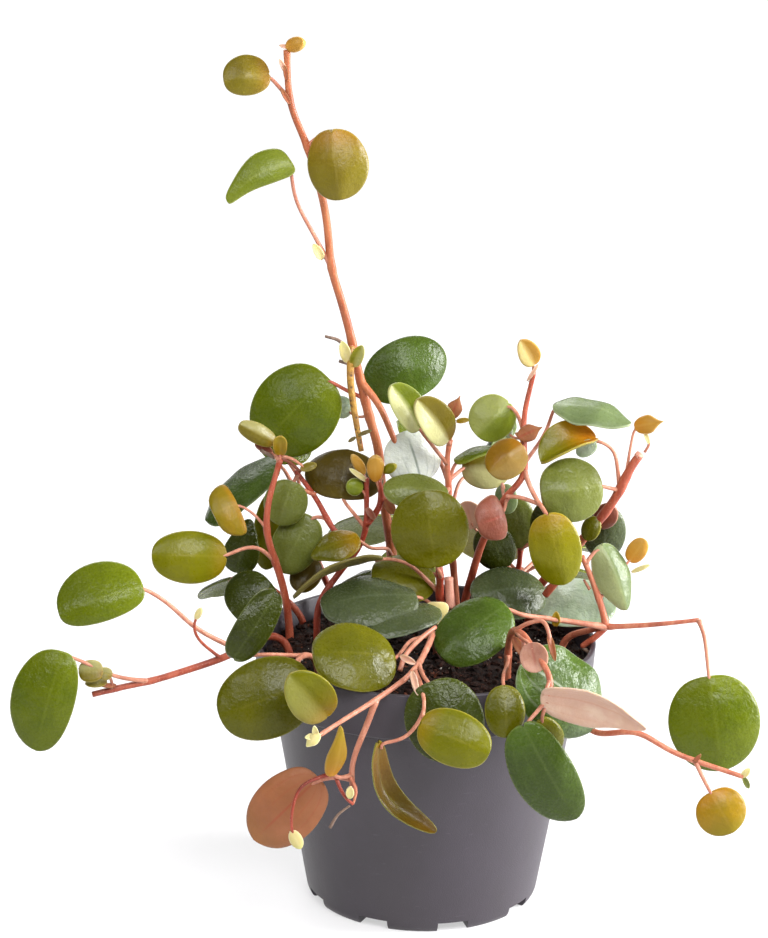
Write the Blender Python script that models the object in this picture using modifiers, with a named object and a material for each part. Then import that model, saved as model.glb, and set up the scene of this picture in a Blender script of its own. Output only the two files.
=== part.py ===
"""Potted peperomia: a trailing plant with thick round leaves on coral stems, in a plastic nursery pot.

Lengths in the tables are millimetres, from the centre of the pot's underside: +X to the right,
-Y towards the viewer, +Z up. MM turns them into metres.
"""

import math

import bmesh
import bpy
from mathutils import Vector

MM = 0.001

# Pot: a 12 cm nursery pot, 94 mm high.
RIM_RADIUS = 60.0
POT_HEIGHT = 94.0
RIM_BAND = 16.0
RIM_LIP = 2.0
BAND_TAPER = 1.3
WALL_TOP_RADIUS = 54.0
WALL_FOOT_RADIUS = 41.6
WALL_FOOT_Z = 4.5
WALL = 1.4
FLOOR_TOP_Z = 5.6
POT_SIDES = 32
FOOT_GAPS = 9
FOOT_GAP_SIZE = (14.0, 11.0, 7.2)
FOOT_GAP_REACH = 38.6
FOOT_GAP_TURN = 5.0
DRAIN_HOLES = 4
DRAIN_RADIUS = 3.5
DRAIN_REACH = 22.0

# Soil: up to 6 mm under the rim, a little uneven.
SOIL_Z = 88.0
SOIL_SIDES = 24
SOIL_RELIEF = 0.9
SOIL_CLEAR = 0.6
ROOT_DEPTH = 9.0
HOLE_CLEAR = 0.35
HOLE_UNDER = 0.4
HOLE_OVER = 8.0
HOLE_SIDES = 8

# Stems, stalks and blades.
STEM_STEP = 12.0
STALK_STEP = 13.0
STALK_RADIUS = 0.95
STALK_SUNK = 3.0
STALK_END_RADIUS = 0.5
SHARP_TURN = 0.2
BLADE_THICKNESS = 1.3

# Which way a blade's upper side looks.
VIEWER = (0.0, -0.94, 0.34)
UP_FRONT = (0.0, -0.6, 0.8)
UP_BACK = (0.0, 0.5, 0.86)
BACK = (0.0, 0.94, 0.34)

LEAF_COLOURS = {
    "green": (0.10, 0.19, 0.035),
    "dark": (0.045, 0.085, 0.02),
    "olive": (0.20, 0.19, 0.02),
    "yellow": (0.34, 0.27, 0.03),
}


def leaf(stalk, base, tip, width, face=VIEWER, cup=-0.24, arch=0.09, wide=0.47, skew=0.0, fold=0.0):
    """One leaf: its stalk's way from the stem, then its blade from base to tip, and the blade's shape.

    Cup lifts both edges and arch the middle of its length, wide says where it is broadest, skew broadens
    its right half at the left one's cost, and fold raises both halves by an angle.
    """
    return {"stalk": stalk, "base": base, "tip": tip, "width": width, "face": face, "cup": cup,
            "arch": arch, "wide": wide, "skew": skew, "fold": fold}


def shoot(colour, foot, stem, radius, leaves, branches=(), end_radius=None):
    """One leafy stem: its foot in the soil, its way up from there, and what grows on it."""
    return {"colour": colour, "foot": foot, "stem": stem, "radius": radius, "leaves": leaves,
            "branches": branches, "end_radius": end_radius or radius * 0.6}


SHOOTS = {}

# The tall shoot: bare below, with four young leaves at the top and an old flower spike.
SHOOTS["stem_tall"] = shoot(
    "olive",
    (-10, 28),
    [(-11, 27, 104), (-12, 26, 117), (-14, 25, 130), (-16, 24, 143), (-17, 23, 156), (-19, 22, 163),
     (-21, 22, 170), (-23, 21, 179), (-25, 20, 187), (-27, 20, 197), (-31, 19, 212), (-34, 18, 222),
     (-36, 16, 242), (-42, 14, 264), (-48, 13, 279), (-49, 12, 297)],
    1.8,
    [leaf([(-49, 12, 296)], (-49, 12, 298), (-43, 10, 300), 5.4),
     leaf([(-49, 13, 281), (-53, 12, 286)], (-55, 11, 289), (-70, 8, 287), 14, skew=0.12),
     leaf([(-34, 18, 222), (-39, 16, 232), (-46, 14, 246)], (-48, 12, 259), (-69, 8, 246), 12, wide=0.26,
          skew=0.2),
     leaf([(-42, 14, 264), (-38, 14, 268)], (-34, 12, 269), (-31, 8, 247), 21, skew=-0.1, fold=-7),
     leaf([(-22, 22, 174), (-29, 20, 178)], (-36, 20, 182), (-58, 19, 157.5), 30.5, cup=-0.28, arch=0.1),
     leaf([(-12, 25, 116), (-14, 14, 122), (-20, 10, 123)], (-24, 9, 127.5), (-40, 4, 121.5), 13, UP_FRONT),
     leaf([(-10, 16, 159), (-6, 17, 151)], (-2, 13, 147), (-8, 17, 164), 21, (0.1, -0.75, 0.66)),
     leaf([(-21, 22, 168), (-24, 27, 166)], (-27, 30, 167), (-34, 32, 171), 8)],
    branches=[([(-27, 19, 195), (-27, 15, 183), (-26, 14, 175), (-25, 13, 169), (-23, 12, 159)], 1.2),
              ([(-23, 21, 181), (-18, 18, 175), (-15, 16, 170), (-12, 15, 162), (-9, 16, 156)], 1.3)],
)

# The arching shoot at the left, with a yellow-olive leaf held out sideways.
SHOOTS["stem_arching"] = shoot(
    "yellow",
    (-48, 14),
    [(-49, 12, 101), (-50, 11, 108), (-53, 8, 119), (-56, 5, 131), (-55, 5, 142), (-53, 7, 149),
     (-51, 8, 156)],
    1.5,
    [leaf([(-51, 8, 155)], (-53, 8, 162), (-65, 5, 169), 7.4, (-0.3, -0.8, 0.5), fold=-12),
     leaf([(-51, 8, 155)], (-54, 10, 158), (-60, 12, 160), 3),
     leaf([(-51, 8, 155)], (-51, 7, 158), (-51, 5, 165), 5, cup=0.45, wide=0.65),
     leaf([(-56, 5, 131), (-60, 4, 137)], (-66, 3, 141), (-74, 0, 138), 19.5, (-0.2, -0.9, 0.3), wide=0.24,
          skew=-0.1),
     leaf([(-53, 8, 119), (-59, 4, 125), (-65, 1, 125)], (-70, -1, 123), (-95, -6, 125), 18.5, skew=-0.06)],
)

# The forked shoot: one arm ends in a cluster of yellow buds, the other leans to the left.
SHOOTS["stem_forked"] = shoot(
    "green",
    (-38, 4),
    [(-38, 6, 103), (-35, 8, 108), (-28, 11, 117), (-23, 13, 123), (-21, 12, 130), (-21, 10, 139),
     (-21, 9, 149)],
    1.3,
    [leaf([(-21, 9, 148)], (-22, 9, 151), (-26, 6, 158), 3.8),
     leaf([(-16, 10, 142), (-17, 8, 147)], (-18, 7, 149), (-18, 5, 158), 6.2, wide=0.55),
     leaf([(-17, 8, 147)], (-15, 7, 152), (-11, 5, 155), 3.6),
     leaf([(-21, 10, 141), (-21, 9, 144)], (-22.5, 9, 145), (-28, 8, 147), 6.4),
     leaf([(-22, 13, 130), (-26, 12, 136)], (-30, 12, 141), (-28, 21, 156), 28, (0.0, -0.75, 0.6),
          cup=-0.3),
     leaf([(-35, 15, 132), (-38, 16, 133)], (-41, 16, 132.5), (-51, 13, 113), 17),
     leaf([(-45, 15, 149), (-46, 15, 147)], (-47, 13.5, 146), (-52, 11.5, 131), 15.5)],
    branches=[([(-24, 13, 121), (-31, 14, 126), (-35, 15, 132), (-37, 15, 137), (-41, 15, 143),
                (-46, 14, 150)], 1.1),
              ([(-21, 12, 131), (-17, 11, 136), (-15, 10, 141), (-17, 8, 149)], 1.2)],
)

# The middle shoot, with the big round olive leaf and the dark leaves that lie over the soil.
SHOOTS["stem_middle"] = shoot(
    "olive",
    (8, 12),
    [(7, 9, 98), (5, 4, 107), (5, -4, 118)],
    1.9,
    [leaf([(5, -4, 117), (5, -8, 120)], (3, -9, 123), (-1, -6, 149), 27, cup=-0.24),
     leaf([(6, 6, 106)], (3, 5, 112), (-19, 4, 117), 19, UP_FRONT, cup=-0.3),
     leaf([(6, 8, 99), (0, 2, 107)], (-4, -4, 110), (-36, -14, 109), 23, (0.0, -0.5, 0.86)),
     leaf([(6, 8, 98), (5, 2, 102)], (4, -2, 105), (-20, -21, 102.5), 16, (0.1, -0.35, 0.93)),
     leaf([(5, 3, 109), (-6, 2, 120)], (-16, -1, 123), (-46, -9, 111), 17, (-0.3, 0.4, 0.87), cup=0.1),
     leaf([(7, 9, 98), (7, 3, 105)], (4, -1, 107), (4, -2, 99), 8.5, UP_FRONT, wide=0.3)],
    branches=[([(7, 10, 96), (10, 6, 102), (8, 3, 114.6)], 1.5)],
)

# The upper middle shoot: pale folded young leaves in front of a big dark one.
SHOOTS["stem_crown"] = shoot(
    "green",
    (12, 28),
    [(11, 26, 103), (10, 23, 114), (8, 19, 131), (8, 17, 143), (7, 15, 151), (7, 14, 158), (8, 13, 162)],
    1.4,
    [leaf([(8, 16, 146), (2, 26, 158)], (-3, 32, 173), (-12, 36, 192), 32, (0.1, -0.85, 0.5), cup=-0.3,
          arch=0.1),
     leaf([(7, 14, 152), (2, 12, 160)], (-3, 10, 167), (-13, 7, 183), 12.5, (0.4, -0.85, 0.3), cup=0.0,
          fold=13),
     leaf([(8, 13, 161)], (7, 10, 163), (-4, 3, 179), 13.5, (0.3, -0.9, 0.3), cup=0.0, fold=13),
     leaf([(8, 13, 160), (9, 14, 166)], (8, 13, 170), (11, 12, 178), 5.4),
     leaf([(8, 17, 143), (7, 10, 144)], (7, 5, 145), (-15, -1, 148), 14, (0.0, -0.75, 0.66), cup=-0.35),
     leaf([(8, 17, 143), (9, 18, 150)], (10, 18, 153), (23, 19, 158), 10, (-0.4, -0.1, 0.9)),
     leaf([(11, 18, 148), (12, 20, 149)], (13, 22, 150), (30, 25, 148), 15),
     leaf([(11, 24, 114), (4, 34, 122), (2, 42, 130)], (0, 48, 136), (-8, 62, 156), 28, UP_BACK),
     leaf([(8, 19, 130), (12, 31, 142)], (18, 38, 143), (32, 48, 160), 26, (0.3, 0.5, 0.8))],
)

# The upper right shoot: a long bare tip with a young leaf, and leaves all along it.
SHOOTS["stem_upper_right"] = shoot(
    "olive",
    (14, 20),
    [(14, 18, 101), (16, 14, 110), (18, 8, 121), (20, 4, 129), (24, 0, 139), (27, -2, 146), (30, -3, 150),
     (34, -4, 154), (33, -1, 160), (33, 2, 165), (33, 5, 174), (35, 5, 183), (36, 4, 189)],
    1.5,
    [leaf([(36, 4, 188)], (36, 3, 192), (31, 0, 201), 8, cup=0.0, fold=14),
     leaf([(33, 3, 166), (31, 8, 164)], (29, 11, 164), (26, 13, 168), 4),
     leaf([(33, 2, 165)], (31, -1, 167), (39, -2, 171), 6),
     leaf([(33, 0, 162)], (32, -4, 165), (21, -7, 156), 14, (-0.2, -0.9, 0.3), fold=-10),
     leaf([(27, -1, 145), (26, 8, 148)], (27, 13, 146), (29, 11, 136), 8),
     leaf([(34, -2, 158), (36, 4, 160), (41, 10, 166)], (44, 9, 176), (70, 4, 171), 17,
          (0.15, -0.35, 0.92)),
     leaf([(34, -4, 156), (36, -6, 149), (39, -10, 145)], (41, -14, 143), (47, -16, 119), 18),
     leaf([(27, -3, 146)], (26.5, -7, 141), (17, -12, 139), 16, (-0.2, -0.9, 0.1), wide=0.25),
     leaf([(33, 4, 167), (31, 8, 173)], (28, 11, 176), (17, 8, 165), 16.5, cup=-0.1, skew=0.08, fold=-10)],
    end_radius=0.8,
)

# The right shoot, pruned at its top: its cut end stands clear above the leaves.
SHOOTS["stem_pruned"] = shoot(
    "olive",
    (38, 31),
    [(40, 30, 101), (46, 23, 112), (53, 15, 123), (58, 10, 131), (63, 7, 139), (67, 4, 147), (70, 2, 156),
     (73, 0, 161)],
    1.7,
    [leaf([(67, 4, 147), (64, 2, 148)], (60, 0, 150), (39, -7, 148.5), 22.5, fold=-4),
     leaf([(67, 4, 148), (65, 5, 160), (62, 5, 163)], (58, 5, 165), (39, -1, 158), 15, (0.05, -0.35, 0.93),
          cup=0.75),
     leaf([(68, 3, 152), (70, 2, 164)], (71, 0, 171), (80, -4, 174), 6.6),
     leaf([(63, 8, 139)], (65, 12, 139), (61, 15, 130), 8.5),
     leaf([(62, 9, 137), (63, 15, 138)], (63, 18, 136), (64, 22, 116), 15.5, cup=-0.3),
     leaf([(59, 10, 132)], (59, 8, 136), (56, 6, 128), 7, (-0.4, -0.9, 0.0)),
     leaf([(54, 14, 124), (58, 24, 129)], (58, 34, 132), (48, 46, 142), 18, (0.1, 0.5, 0.85))],
    end_radius=1.5,
)

# The low shoot at the right: its tip is cut, and one round leaf hangs from it.
SHOOTS["stem_right"] = shoot(
    "green",
    (48, 4),
    [(52, 0, 96), (58, -3, 98), (63, -5, 100)],
    1.4,
    [leaf([(63, -5, 100), (56, -8, 102), (47, -10, 104), (39, -13, 106), (32, -16, 108)], (27, -17, 111),
          (5, -29, 97), 23, (-0.25, -0.8, 0.55)),
     leaf([(94, -14, 106), (96, -16, 101), (97, -17, 94)], (98, -18, 86), (103, -23, 54), 32,
          (0.0, -0.96, 0.2), cup=-0.26),
     leaf([(54, -2, 122), (58, -1, 126)], (61, 0, 128), (70, -4, 106), 14, (0.35, -0.9, 0.2), fold=-12),
     leaf([(60, -4, 110), (66, 0, 117)], (71, 2, 122), (76, 2, 130), 7)],
    branches=[([(63, -5, 100), (62, -5, 105), (58, -3, 116), (54, -2, 125)], 1.2),
              ([(63, -5, 100), (74, -9, 102), (84, -12, 104), (94, -14, 106)], 1.0)],
)

# The long low shoot that runs out to the right, with an ochre leaf near its end.
SHOOTS["stem_right_low"] = shoot(
    "yellow",
    (33, -18),
    [(38, -28, 97), (45, -38, 98.5), (49, -42, 96), (51, -45, 90), (52, -48, 84), (54, -53, 79.5),
     (60, -59, 81), (69, -62, 84), (76, -64, 80), (84, -65, 76), (96, -68, 73), (104, -70, 71)],
    1.2,
    [leaf([(88, -67, 75), (91, -70, 70)], (93.5, -71, 65.5), (101, -74, 53), 17)],
    end_radius=0.8,
)

# The front right shoot: a pale underside, a big dark hanging leaf and a glossy one behind.
SHOOTS["stem_front_right"] = shoot(
    "green",
    (28, -24),
    [(28, -31, 104), (29, -40, 111), (32, -48, 112), (35, -55, 109), (39, -61, 105), (41, -66, 101),
     (39, -67, 95)],
    1.3,
    [leaf([(41, -65, 102)], (38, -69, 99), (71, -76, 90), 19, (-0.2, 0.8, 0.55), wide=0.38, skew=-0.2),
     leaf([(39, -66, 96), (36, -67, 92)], (31.5, -71, 88), (50, -66, 54), 20.5, (-0.1, -0.97, 0.2),
          skew=0.2),
     leaf([(32, -48, 111)], (32, -52, 103.5), (58, -52, 83), 29, (0.1, -0.75, 0.65)),
     leaf([(39, -66, 96), (38, -66, 91)], (37, -65, 88), (44, -62, 77), 9),
     leaf([(29, -40, 111), (31, -52, 112)], (34, -57, 112), (36, -60, 103), 9.5, BACK),
     leaf([(28, -27, 97), (27, -42, 99), (25, -56, 100)], (25, -63, 99), (26, -68, 83), 13.5,
          (0.1, -0.95, 0.3))],
    end_radius=0.9,
)

# The front shoot: it forks over the rim, with round leaves and a loose young tip.
SHOOTS["stem_front"] = shoot(
    "green",
    (4, -4),
    [(3, -12, 99), (2, -24, 103), (1, -35, 104), (-2, -44, 101), (-4, -51, 100), (-9, -58, 98),
     (-17, -66, 95), (-27, -76, 92), (-35, -83, 89)],
    1.2,
    [leaf([(-34, -82, 90)], (-35, -84, 90), (-39, -85, 86), 3.8),
     leaf([(1, -16, 99), (-5, -24, 101), (-8, -34, 101)], (-11, -45, 101.5), (-38, -53, 106), 26,
          (-0.05, -0.68, 0.73), cup=-0.2),
     leaf([(-25, -71, 70), (-29, -75, 71)], (-31, -77, 73), (-28, -80, 91), 7.4, (0.5, -0.85, 0.0),
          wide=0.38),
     leaf([(-25, -71, 69), (-30, -69, 69)], (-37, -66, 66), (-57, -62, 43.5), 22.5),
     leaf([(-32, -74, 72), (-41, -77, 69), (-44, -78, 60)], (-44, -77, 53), (-41, -77, 47), 4.4),
     leaf([(-4, -51, 99), (-2, -60, 98), (-1, -67, 92), (-7, -71, 84)], (-16, -72, 82), (3, -72, 51), 9,
          (0.55, -0.75, 0.35), cup=0.5, arch=-0.24),
     leaf([(-4, -51, 99), (-2, -62, 98), (-1, -70, 95)], (-2, -77, 91), (20, -82, 83), 18),
     leaf([(-3, -46, 100), (-1, -58, 100)], (1, -64, 100), (11, -68, 75), 26)],
    branches=[([(-17, -66, 94), (-20, -68, 86), (-24, -70, 77), (-25, -70, 70), (-24, -70, 64)], 1.1)],
    end_radius=0.7,
)

# The front left shoot, with the biggest leaf low over the rim.
SHOOTS["stem_front_left"] = shoot(
    "olive",
    (-37, -20),
    [(-40, -28, 97), (-43, -36, 99), (-44, -42, 98)],
    1.3,
    [leaf([(-43, -40, 98)], (-39, -46, 94), (-69, -52, 83), 27, cup=-0.24),
     leaf([(-43, -40, 98), (-37, -52, 92)], (-33, -60, 87), (-45, -64, 103), 16, cup=0.0, fold=11),
     leaf([(-42, -32, 98), (-55, -37, 100)], (-65, -40, 100), (-51, -32, 121), 13.5, (0.3, -0.9, 0.3),
          fold=10)],
)

# The far left shoot, stretched out level past the rim.
SHOOTS["stem_far_left"] = shoot(
    "green",
    (-47, -4),
    [(-52, -8, 97), (-57, -14, 98), (-63, -20, 96), (-70, -25, 94), (-82, -29, 91), (-94, -32, 88),
     (-102, -34, 87), (-113, -37, 85)],
    1.4,
    [leaf([(-64, -22, 97), (-71, -26, 101), (-79, -29, 107), (-88, -33, 117)], (-96, -36, 123),
          (-123, -42, 115), 21, (-0.2, -0.85, 0.5), cup=-0.25, skew=0.3),
     leaf([(-94, -32, 89), (-105, -38, 92), (-115, -41, 98)], (-122, -42, 101), (-131, -46, 68), 22,
          (-0.1, -0.95, 0.3), cup=-0.25, skew=0.24),
     leaf([(-106, -35, 87), (-106, -38, 91)], (-109, -40, 95), (-117, -40, 94), 7.6, cup=0.3),
     leaf([(-71, -26, 98), (-77, -32, 103), (-79, -33, 108)], (-78, -33, 111), (-76, -33, 115), 2.4)],
    end_radius=1.0,
)

# The low left shoot: two dark leaves over the rim, and one behind.
SHOOTS["stem_left_low"] = shoot(
    "dark",
    (-43, 25),
    [(-48, 24, 98), (-55, 24, 103), (-62, 24, 109)],
    1.3,
    [leaf([(-62, 24, 109)], (-67, 19, 111), (-62.5, 21, 130), 13, wide=0.34),
     leaf([(-56, 24, 104), (-56, 16, 108)], (-55, 10, 110), (-68, 5, 100), 20, cup=-0.3),
     leaf([(-61, 24, 108), (-66, 30, 106)], (-70, 36, 103), (-78, 48, 92), 19, (-0.3, 0.5, 0.8))],
    end_radius=1.0,
)

# The back left shoot, which holds the long leaf seen edge-on.
SHOOTS["stem_back_left"] = shoot(
    "green",
    (-30, 38),
    [(-36, 38, 102), (-41, 36, 116), (-45, 34, 130), (-48, 32, 141)],
    1.4,
    [leaf([(-48, 32, 140), (-51, 29, 147)], (-54, 29.5, 149.5), (-78, 22.5, 128.5), 25,
          (-0.53, -0.3, 0.79)),
     leaf([(-48, 32, 140), (-52, 30, 139)], (-54, 30, 137), (-57, 25, 110), 12),
     leaf([(-38, 37, 106), (-38, 28, 113)], (-39, 24, 114), (-46, 17, 105), 11),
     leaf([(-45, 34, 130), (-46, 42, 140)], (-50, 46, 144), (-52, 62, 155), 20, UP_BACK),
     leaf([(-39, 37, 110), (-48, 46, 116)], (-52, 52, 117), (-68, 66, 110), 22, (-0.3, 0.6, 0.75))],
)

# The back right shoot: dark glossy leaves that close the view behind the right-hand stems.
SHOOTS["stem_back_right"] = shoot(
    "dark",
    (31, 36),
    [(32, 34, 100), (34, 29, 111), (34, 25, 119)],
    1.4,
    [leaf([(34, 25, 118)], (34, 24, 120), (31, 20, 140), 13),
     leaf([(32, 33, 101), (36, 24, 105), (41, 16, 106)], (42, 12, 107), (16, 2, 109), 21, (0.1, -0.7, 0.7)),
     leaf([(32, 33, 101), (37, 26, 104)], (40, 18, 101.5), (68, 13, 101), 26, (0.1, -0.42, 0.9), cup=-0.12),
     leaf([(33, 31, 106), (31, 25, 111)], (29, 20, 114), (20, 17, 129), 15),
     leaf([(34, 25, 119), (38, 22, 122)], (40, 21, 125), (41, 17, 138), 7),
     leaf([(33, 30, 108), (24, 28, 120)], (17, 26, 126), (14, 26, 136), 10, (0.0, 0.95, 0.2)),
     leaf([(33, 32, 106), (44, 44, 112)], (46, 50, 113), (58, 66, 106), 24, (0.2, 0.6, 0.75))],
)

# Two shoots at the back, where the leaves lean out over the rim as they do in front.
SHOOTS["stem_back"] = shoot(
    "green",
    (6, 44),
    [(6, 50, 100), (5, 56, 107), (3, 63, 111), (0, 72, 110), (-4, 82, 104)],
    1.5,
    [leaf([(3, 63, 111), (-6, 66, 116)], (-10, 67, 117), (-34, 76, 106), 27, (-0.2, 0.7, 0.7)),
     leaf([(4, 60, 109), (12, 66, 115)], (16, 68, 115), (34, 78, 98), 26, (0.2, 0.8, 0.55)),
     leaf([(-4, 82, 104)], (-4, 84, 101), (-10, 90, 74), 24, BACK),
     leaf([(6, 50, 101), (-2, 52, 102)], (-8, 54, 101), (-30, 62, 92), 22, (-0.1, 0.45, 0.9))],
)
SHOOTS["stem_back_trailing"] = shoot(
    "green",
    (28, 44),
    [(31, 50, 99), (34, 56, 101), (38, 64, 98), (42, 71, 88), (44, 74, 76)],
    1.4,
    [leaf([(38, 63, 98), (44, 63, 101)], (48, 63, 100), (66, 72, 90), 23, (0.3, 0.6, 0.75)),
     leaf([(44, 74, 77)], (44, 75, 74), (40, 78, 50), 21, (0.2, 0.95, 0.2)),
     leaf([(42, 72, 86), (48, 74, 84)], (51, 75, 82), (60, 79, 71), 13, (0.3, 0.85, 0.4))],
)


def smooth_route(points, step):
    """Points about one step apart on a smooth curve through a route's own points."""
    knots = [Vector(point) for point in points]
    knots = [knots[0] * 2 - knots[1]] + knots + [knots[-1] * 2 - knots[-2]]
    route = []
    for index in range(1, len(knots) - 2):
        before, start, end, after = knots[index - 1:index + 3]
        parts = max(1, round((end - start).length / step))
        for part in range(parts):
            t = part / parts
            route.append(0.5 * (2 * start + (end - before) * t
                                + (2 * before - 5 * start + 4 * end - after) * t ** 2
                                + (3 * start - before - 3 * end + after) * t ** 3))
    route.append(knots[-2])
    return route


def plain_material(name, colour, roughness):
    """A Principled material, made once."""
    material = bpy.data.materials.get(name)
    if material is None:
        material = bpy.data.materials.new(name)
        material.use_nodes = True
        shader = material.node_tree.nodes["Principled BSDF"]
        shader.inputs["Base Color"].default_value = (*colour, 1.0)
        shader.inputs["Roughness"].default_value = roughness
        shader.inputs["Metallic"].default_value = 0.0
        material.diffuse_color = (*colour, 1.0)
    return material


def leaf_material(colour):
    return plain_material("leaf_" + colour, LEAF_COLOURS[colour], 0.35)


def pot_material():
    return plain_material("grey_plastic", (0.13, 0.115, 0.125), 0.5)


def soil_material():
    return plain_material("potting_soil", (0.018, 0.011, 0.009), 0.95)


def mesh_object(name, mesh, collection):
    """A new object that holds a mesh."""
    made = bpy.data.objects.new(name, mesh)
    collection.objects.link(made)
    return made


def drop(made):
    """Removes an object that was only a step on the way."""
    bpy.data.objects.remove(made, do_unlink=True)


def settled(made, name, collection):
    """The object as its modifiers or its bevel leave it, as a plain mesh object."""
    bpy.context.view_layer.update()
    evaluated = made.evaluated_get(bpy.context.evaluated_depsgraph_get())
    mesh = bpy.data.meshes.new_from_object(evaluated)
    mesh.transform(made.matrix_world)
    drop(made)
    return mesh_object(name, mesh, collection)


def faceted(made):
    """Joins points that lie on one another, such as a cap's, and splits the faces into triangles."""
    work = bmesh.new()
    work.from_mesh(made.data)
    bmesh.ops.remove_doubles(work, verts=work.verts, dist=0.00001)
    bmesh.ops.triangulate(work, faces=work.faces)
    work.to_mesh(made.data)
    work.free()
    return made


def tube(name, route, radius, end_radius, material, collection):
    """A stem: a round bar along its route, thinner towards its end."""
    curve = bpy.data.curves.new(name, "CURVE")
    curve.dimensions = "3D"
    curve.bevel_depth = radius * MM
    curve.bevel_resolution = 1
    curve.use_fill_caps = True
    spline = curve.splines.new("POLY")
    spline.points.add(len(route) - 1)
    for index, point in enumerate(route):
        along = index / (len(route) - 1)
        spline.points[index].co = (*(point * MM), 1.0)
        spline.points[index].radius = 1.0 + (end_radius / radius - 1.0) * along
    curve.materials.append(material)
    return faceted(settled(mesh_object(name, curve, collection), name, collection))


def blade_axes(spec):
    """A blade's three directions: along its midrib, to its right side, and out of its upper face."""
    along = (Vector(spec["tip"]) - Vector(spec["base"])).normalized()
    face = Vector(spec["face"])
    face = (face - along * face.dot(along)).normalized()
    return along, along.cross(face), face


def blade_edge(spec, centre, run, reach):
    """A blade's edge beside a point of its midrib: a run to the right, folded up and cupped."""
    along, side, face = blade_axes(spec)
    fold = math.radians(spec["fold"])
    return centre + side * (run * math.cos(fold)) + face * (abs(run) * math.sin(fold) + spec["cup"] * reach)


def blade_section(left, centre, right, face):
    """Six points round a blade: left, middle and right of the upper face, then right to left below."""
    upper = face * BLADE_THICKNESS / 2
    return [left + upper, centre + upper, right + upper, right - upper, centre - upper, left - upper]


def stalk_section(centre, side, face, radius):
    """Four points round a stalk, with its left and right ones given twice to pair with a blade's."""
    left, right = centre - side * radius, centre + side * radius
    return [left, centre + face * radius, right, right, centre - face * radius, left]


def stalk_sections(spec):
    """The stalk's sections from the stem to the blade, turned no more than its bends turn them."""
    along, side, face = blade_axes(spec)
    length = (Vector(spec["tip"]) - Vector(spec["base"])).length
    radius = STALK_RADIUS if length > 12.0 else STALK_RADIUS * 0.75
    route = smooth_route([*spec["stalk"], spec["base"]], STALK_STEP)
    ahead = along
    sections = []
    for index in reversed(range(len(route))):
        behind = (route[index] - route[index - 1]).normalized() if index else ahead
        heading = (ahead + behind).normalized()
        turn = along.rotation_difference(heading)
        side, face, along = turn @ side, turn @ face, heading
        ahead = behind
        thinner = 1.0 - 0.25 * index / (len(route) - 1)
        sections.insert(0, stalk_section(route[index], side, face, radius * thinner))
    return sections


def blade_sections(spec):
    """The blade's sections: round in outline about its midrib, cupped and arched, with a thin tip."""
    base, tip = Vector(spec["base"]), Vector(spec["tip"])
    along, side, face = blade_axes(spec)
    length = (tip - base).length
    stations = 3 if length < 12.0 else 4 if length < 21.0 else 5
    sections = []
    for station in range(1, stations + 2):
        angle = math.pi * station / (stations + 1)
        share = (1 - math.cos(angle)) / 2
        reach = spec["width"] / 2 * math.sin(angle) ** 0.9 if station <= stations else 0.0
        place = share + (spec["wide"] - 0.5) * math.sin(math.pi * share)
        centre = base + along * (length * place) + face * (spec["arch"] * length * math.sin(math.pi * place))
        left = blade_edge(spec, centre, reach * (spec["skew"] - 1), reach)
        right = blade_edge(spec, centre, reach * (spec["skew"] + 1), reach)
        sections.append(blade_section(left, centre, right, face))
    return sections


def skinned(name, sections, material, collection):
    """A closed piece through a row of six-point sections; points given twice become one."""
    work = bmesh.new()
    rings = [[work.verts.new(point * MM) for point in ring] for ring in sections]
    for before, after in zip(rings, rings[1:]):
        for index in range(6):
            following = (index + 1) % 6
            corners = [before[index], before[following], after[following], after[index]]
            if index > 2:
                corners = corners[1:] + corners[:1]
            for triangle in (corners[:3], [corners[0], corners[2], corners[3]]):
                work.faces.new(triangle)
    work.faces.new(list(reversed(rings[0])))
    work.faces.new(rings[-1])
    mesh = bpy.data.meshes.new(name)
    work.to_mesh(mesh)
    work.free()
    mesh.materials.append(material)
    return faceted(mesh_object(name, mesh, collection))


def leaf_pieces(name, spec, material, collection):
    """A leaf in one piece, or its stalk sunk into its blade where the two meet at a sharp turn."""
    along, side, face = blade_axes(spec)
    base = Vector(spec["base"])
    arrival = (base - Vector(spec["stalk"][-1])).normalized()
    stalk = stalk_sections(spec)
    blade = blade_sections(spec)
    if arrival.dot(along) > SHARP_TURN:
        skinned(name, stalk + blade, material, collection)
        return
    sunk = base + along * STALK_SUNK
    skinned(name, stalk + [stalk_section(sunk, side, face, STALK_END_RADIUS)], material, collection)
    skinned(name, [blade_section(base, base, base, face)] + blade, material, collection)


def fused(body, pieces, collection):
    """One closed body: a stem joined to everything in a collection by one Boolean union."""
    union = body.modifiers.new("join", "BOOLEAN")
    union.operation = "UNION"
    union.operand_type = "COLLECTION"
    union.collection = pieces
    union.solver = "EXACT"
    joined = settled(body, body.name, collection)
    for piece in list(pieces.objects):
        drop(piece)
    return joined


def on_stem(routes, point):
    """The place on the stems' centre lines that is nearest to a point."""
    point = Vector(point)
    places = []
    for route in routes:
        for start, end in zip(route, route[1:]):
            share = (point - start).dot(end - start) / (end - start).length_squared
            places.append(start.lerp(end, min(1.0, max(0.0, share))))
    return min(places, key=lambda place: (place - point).length)


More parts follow.
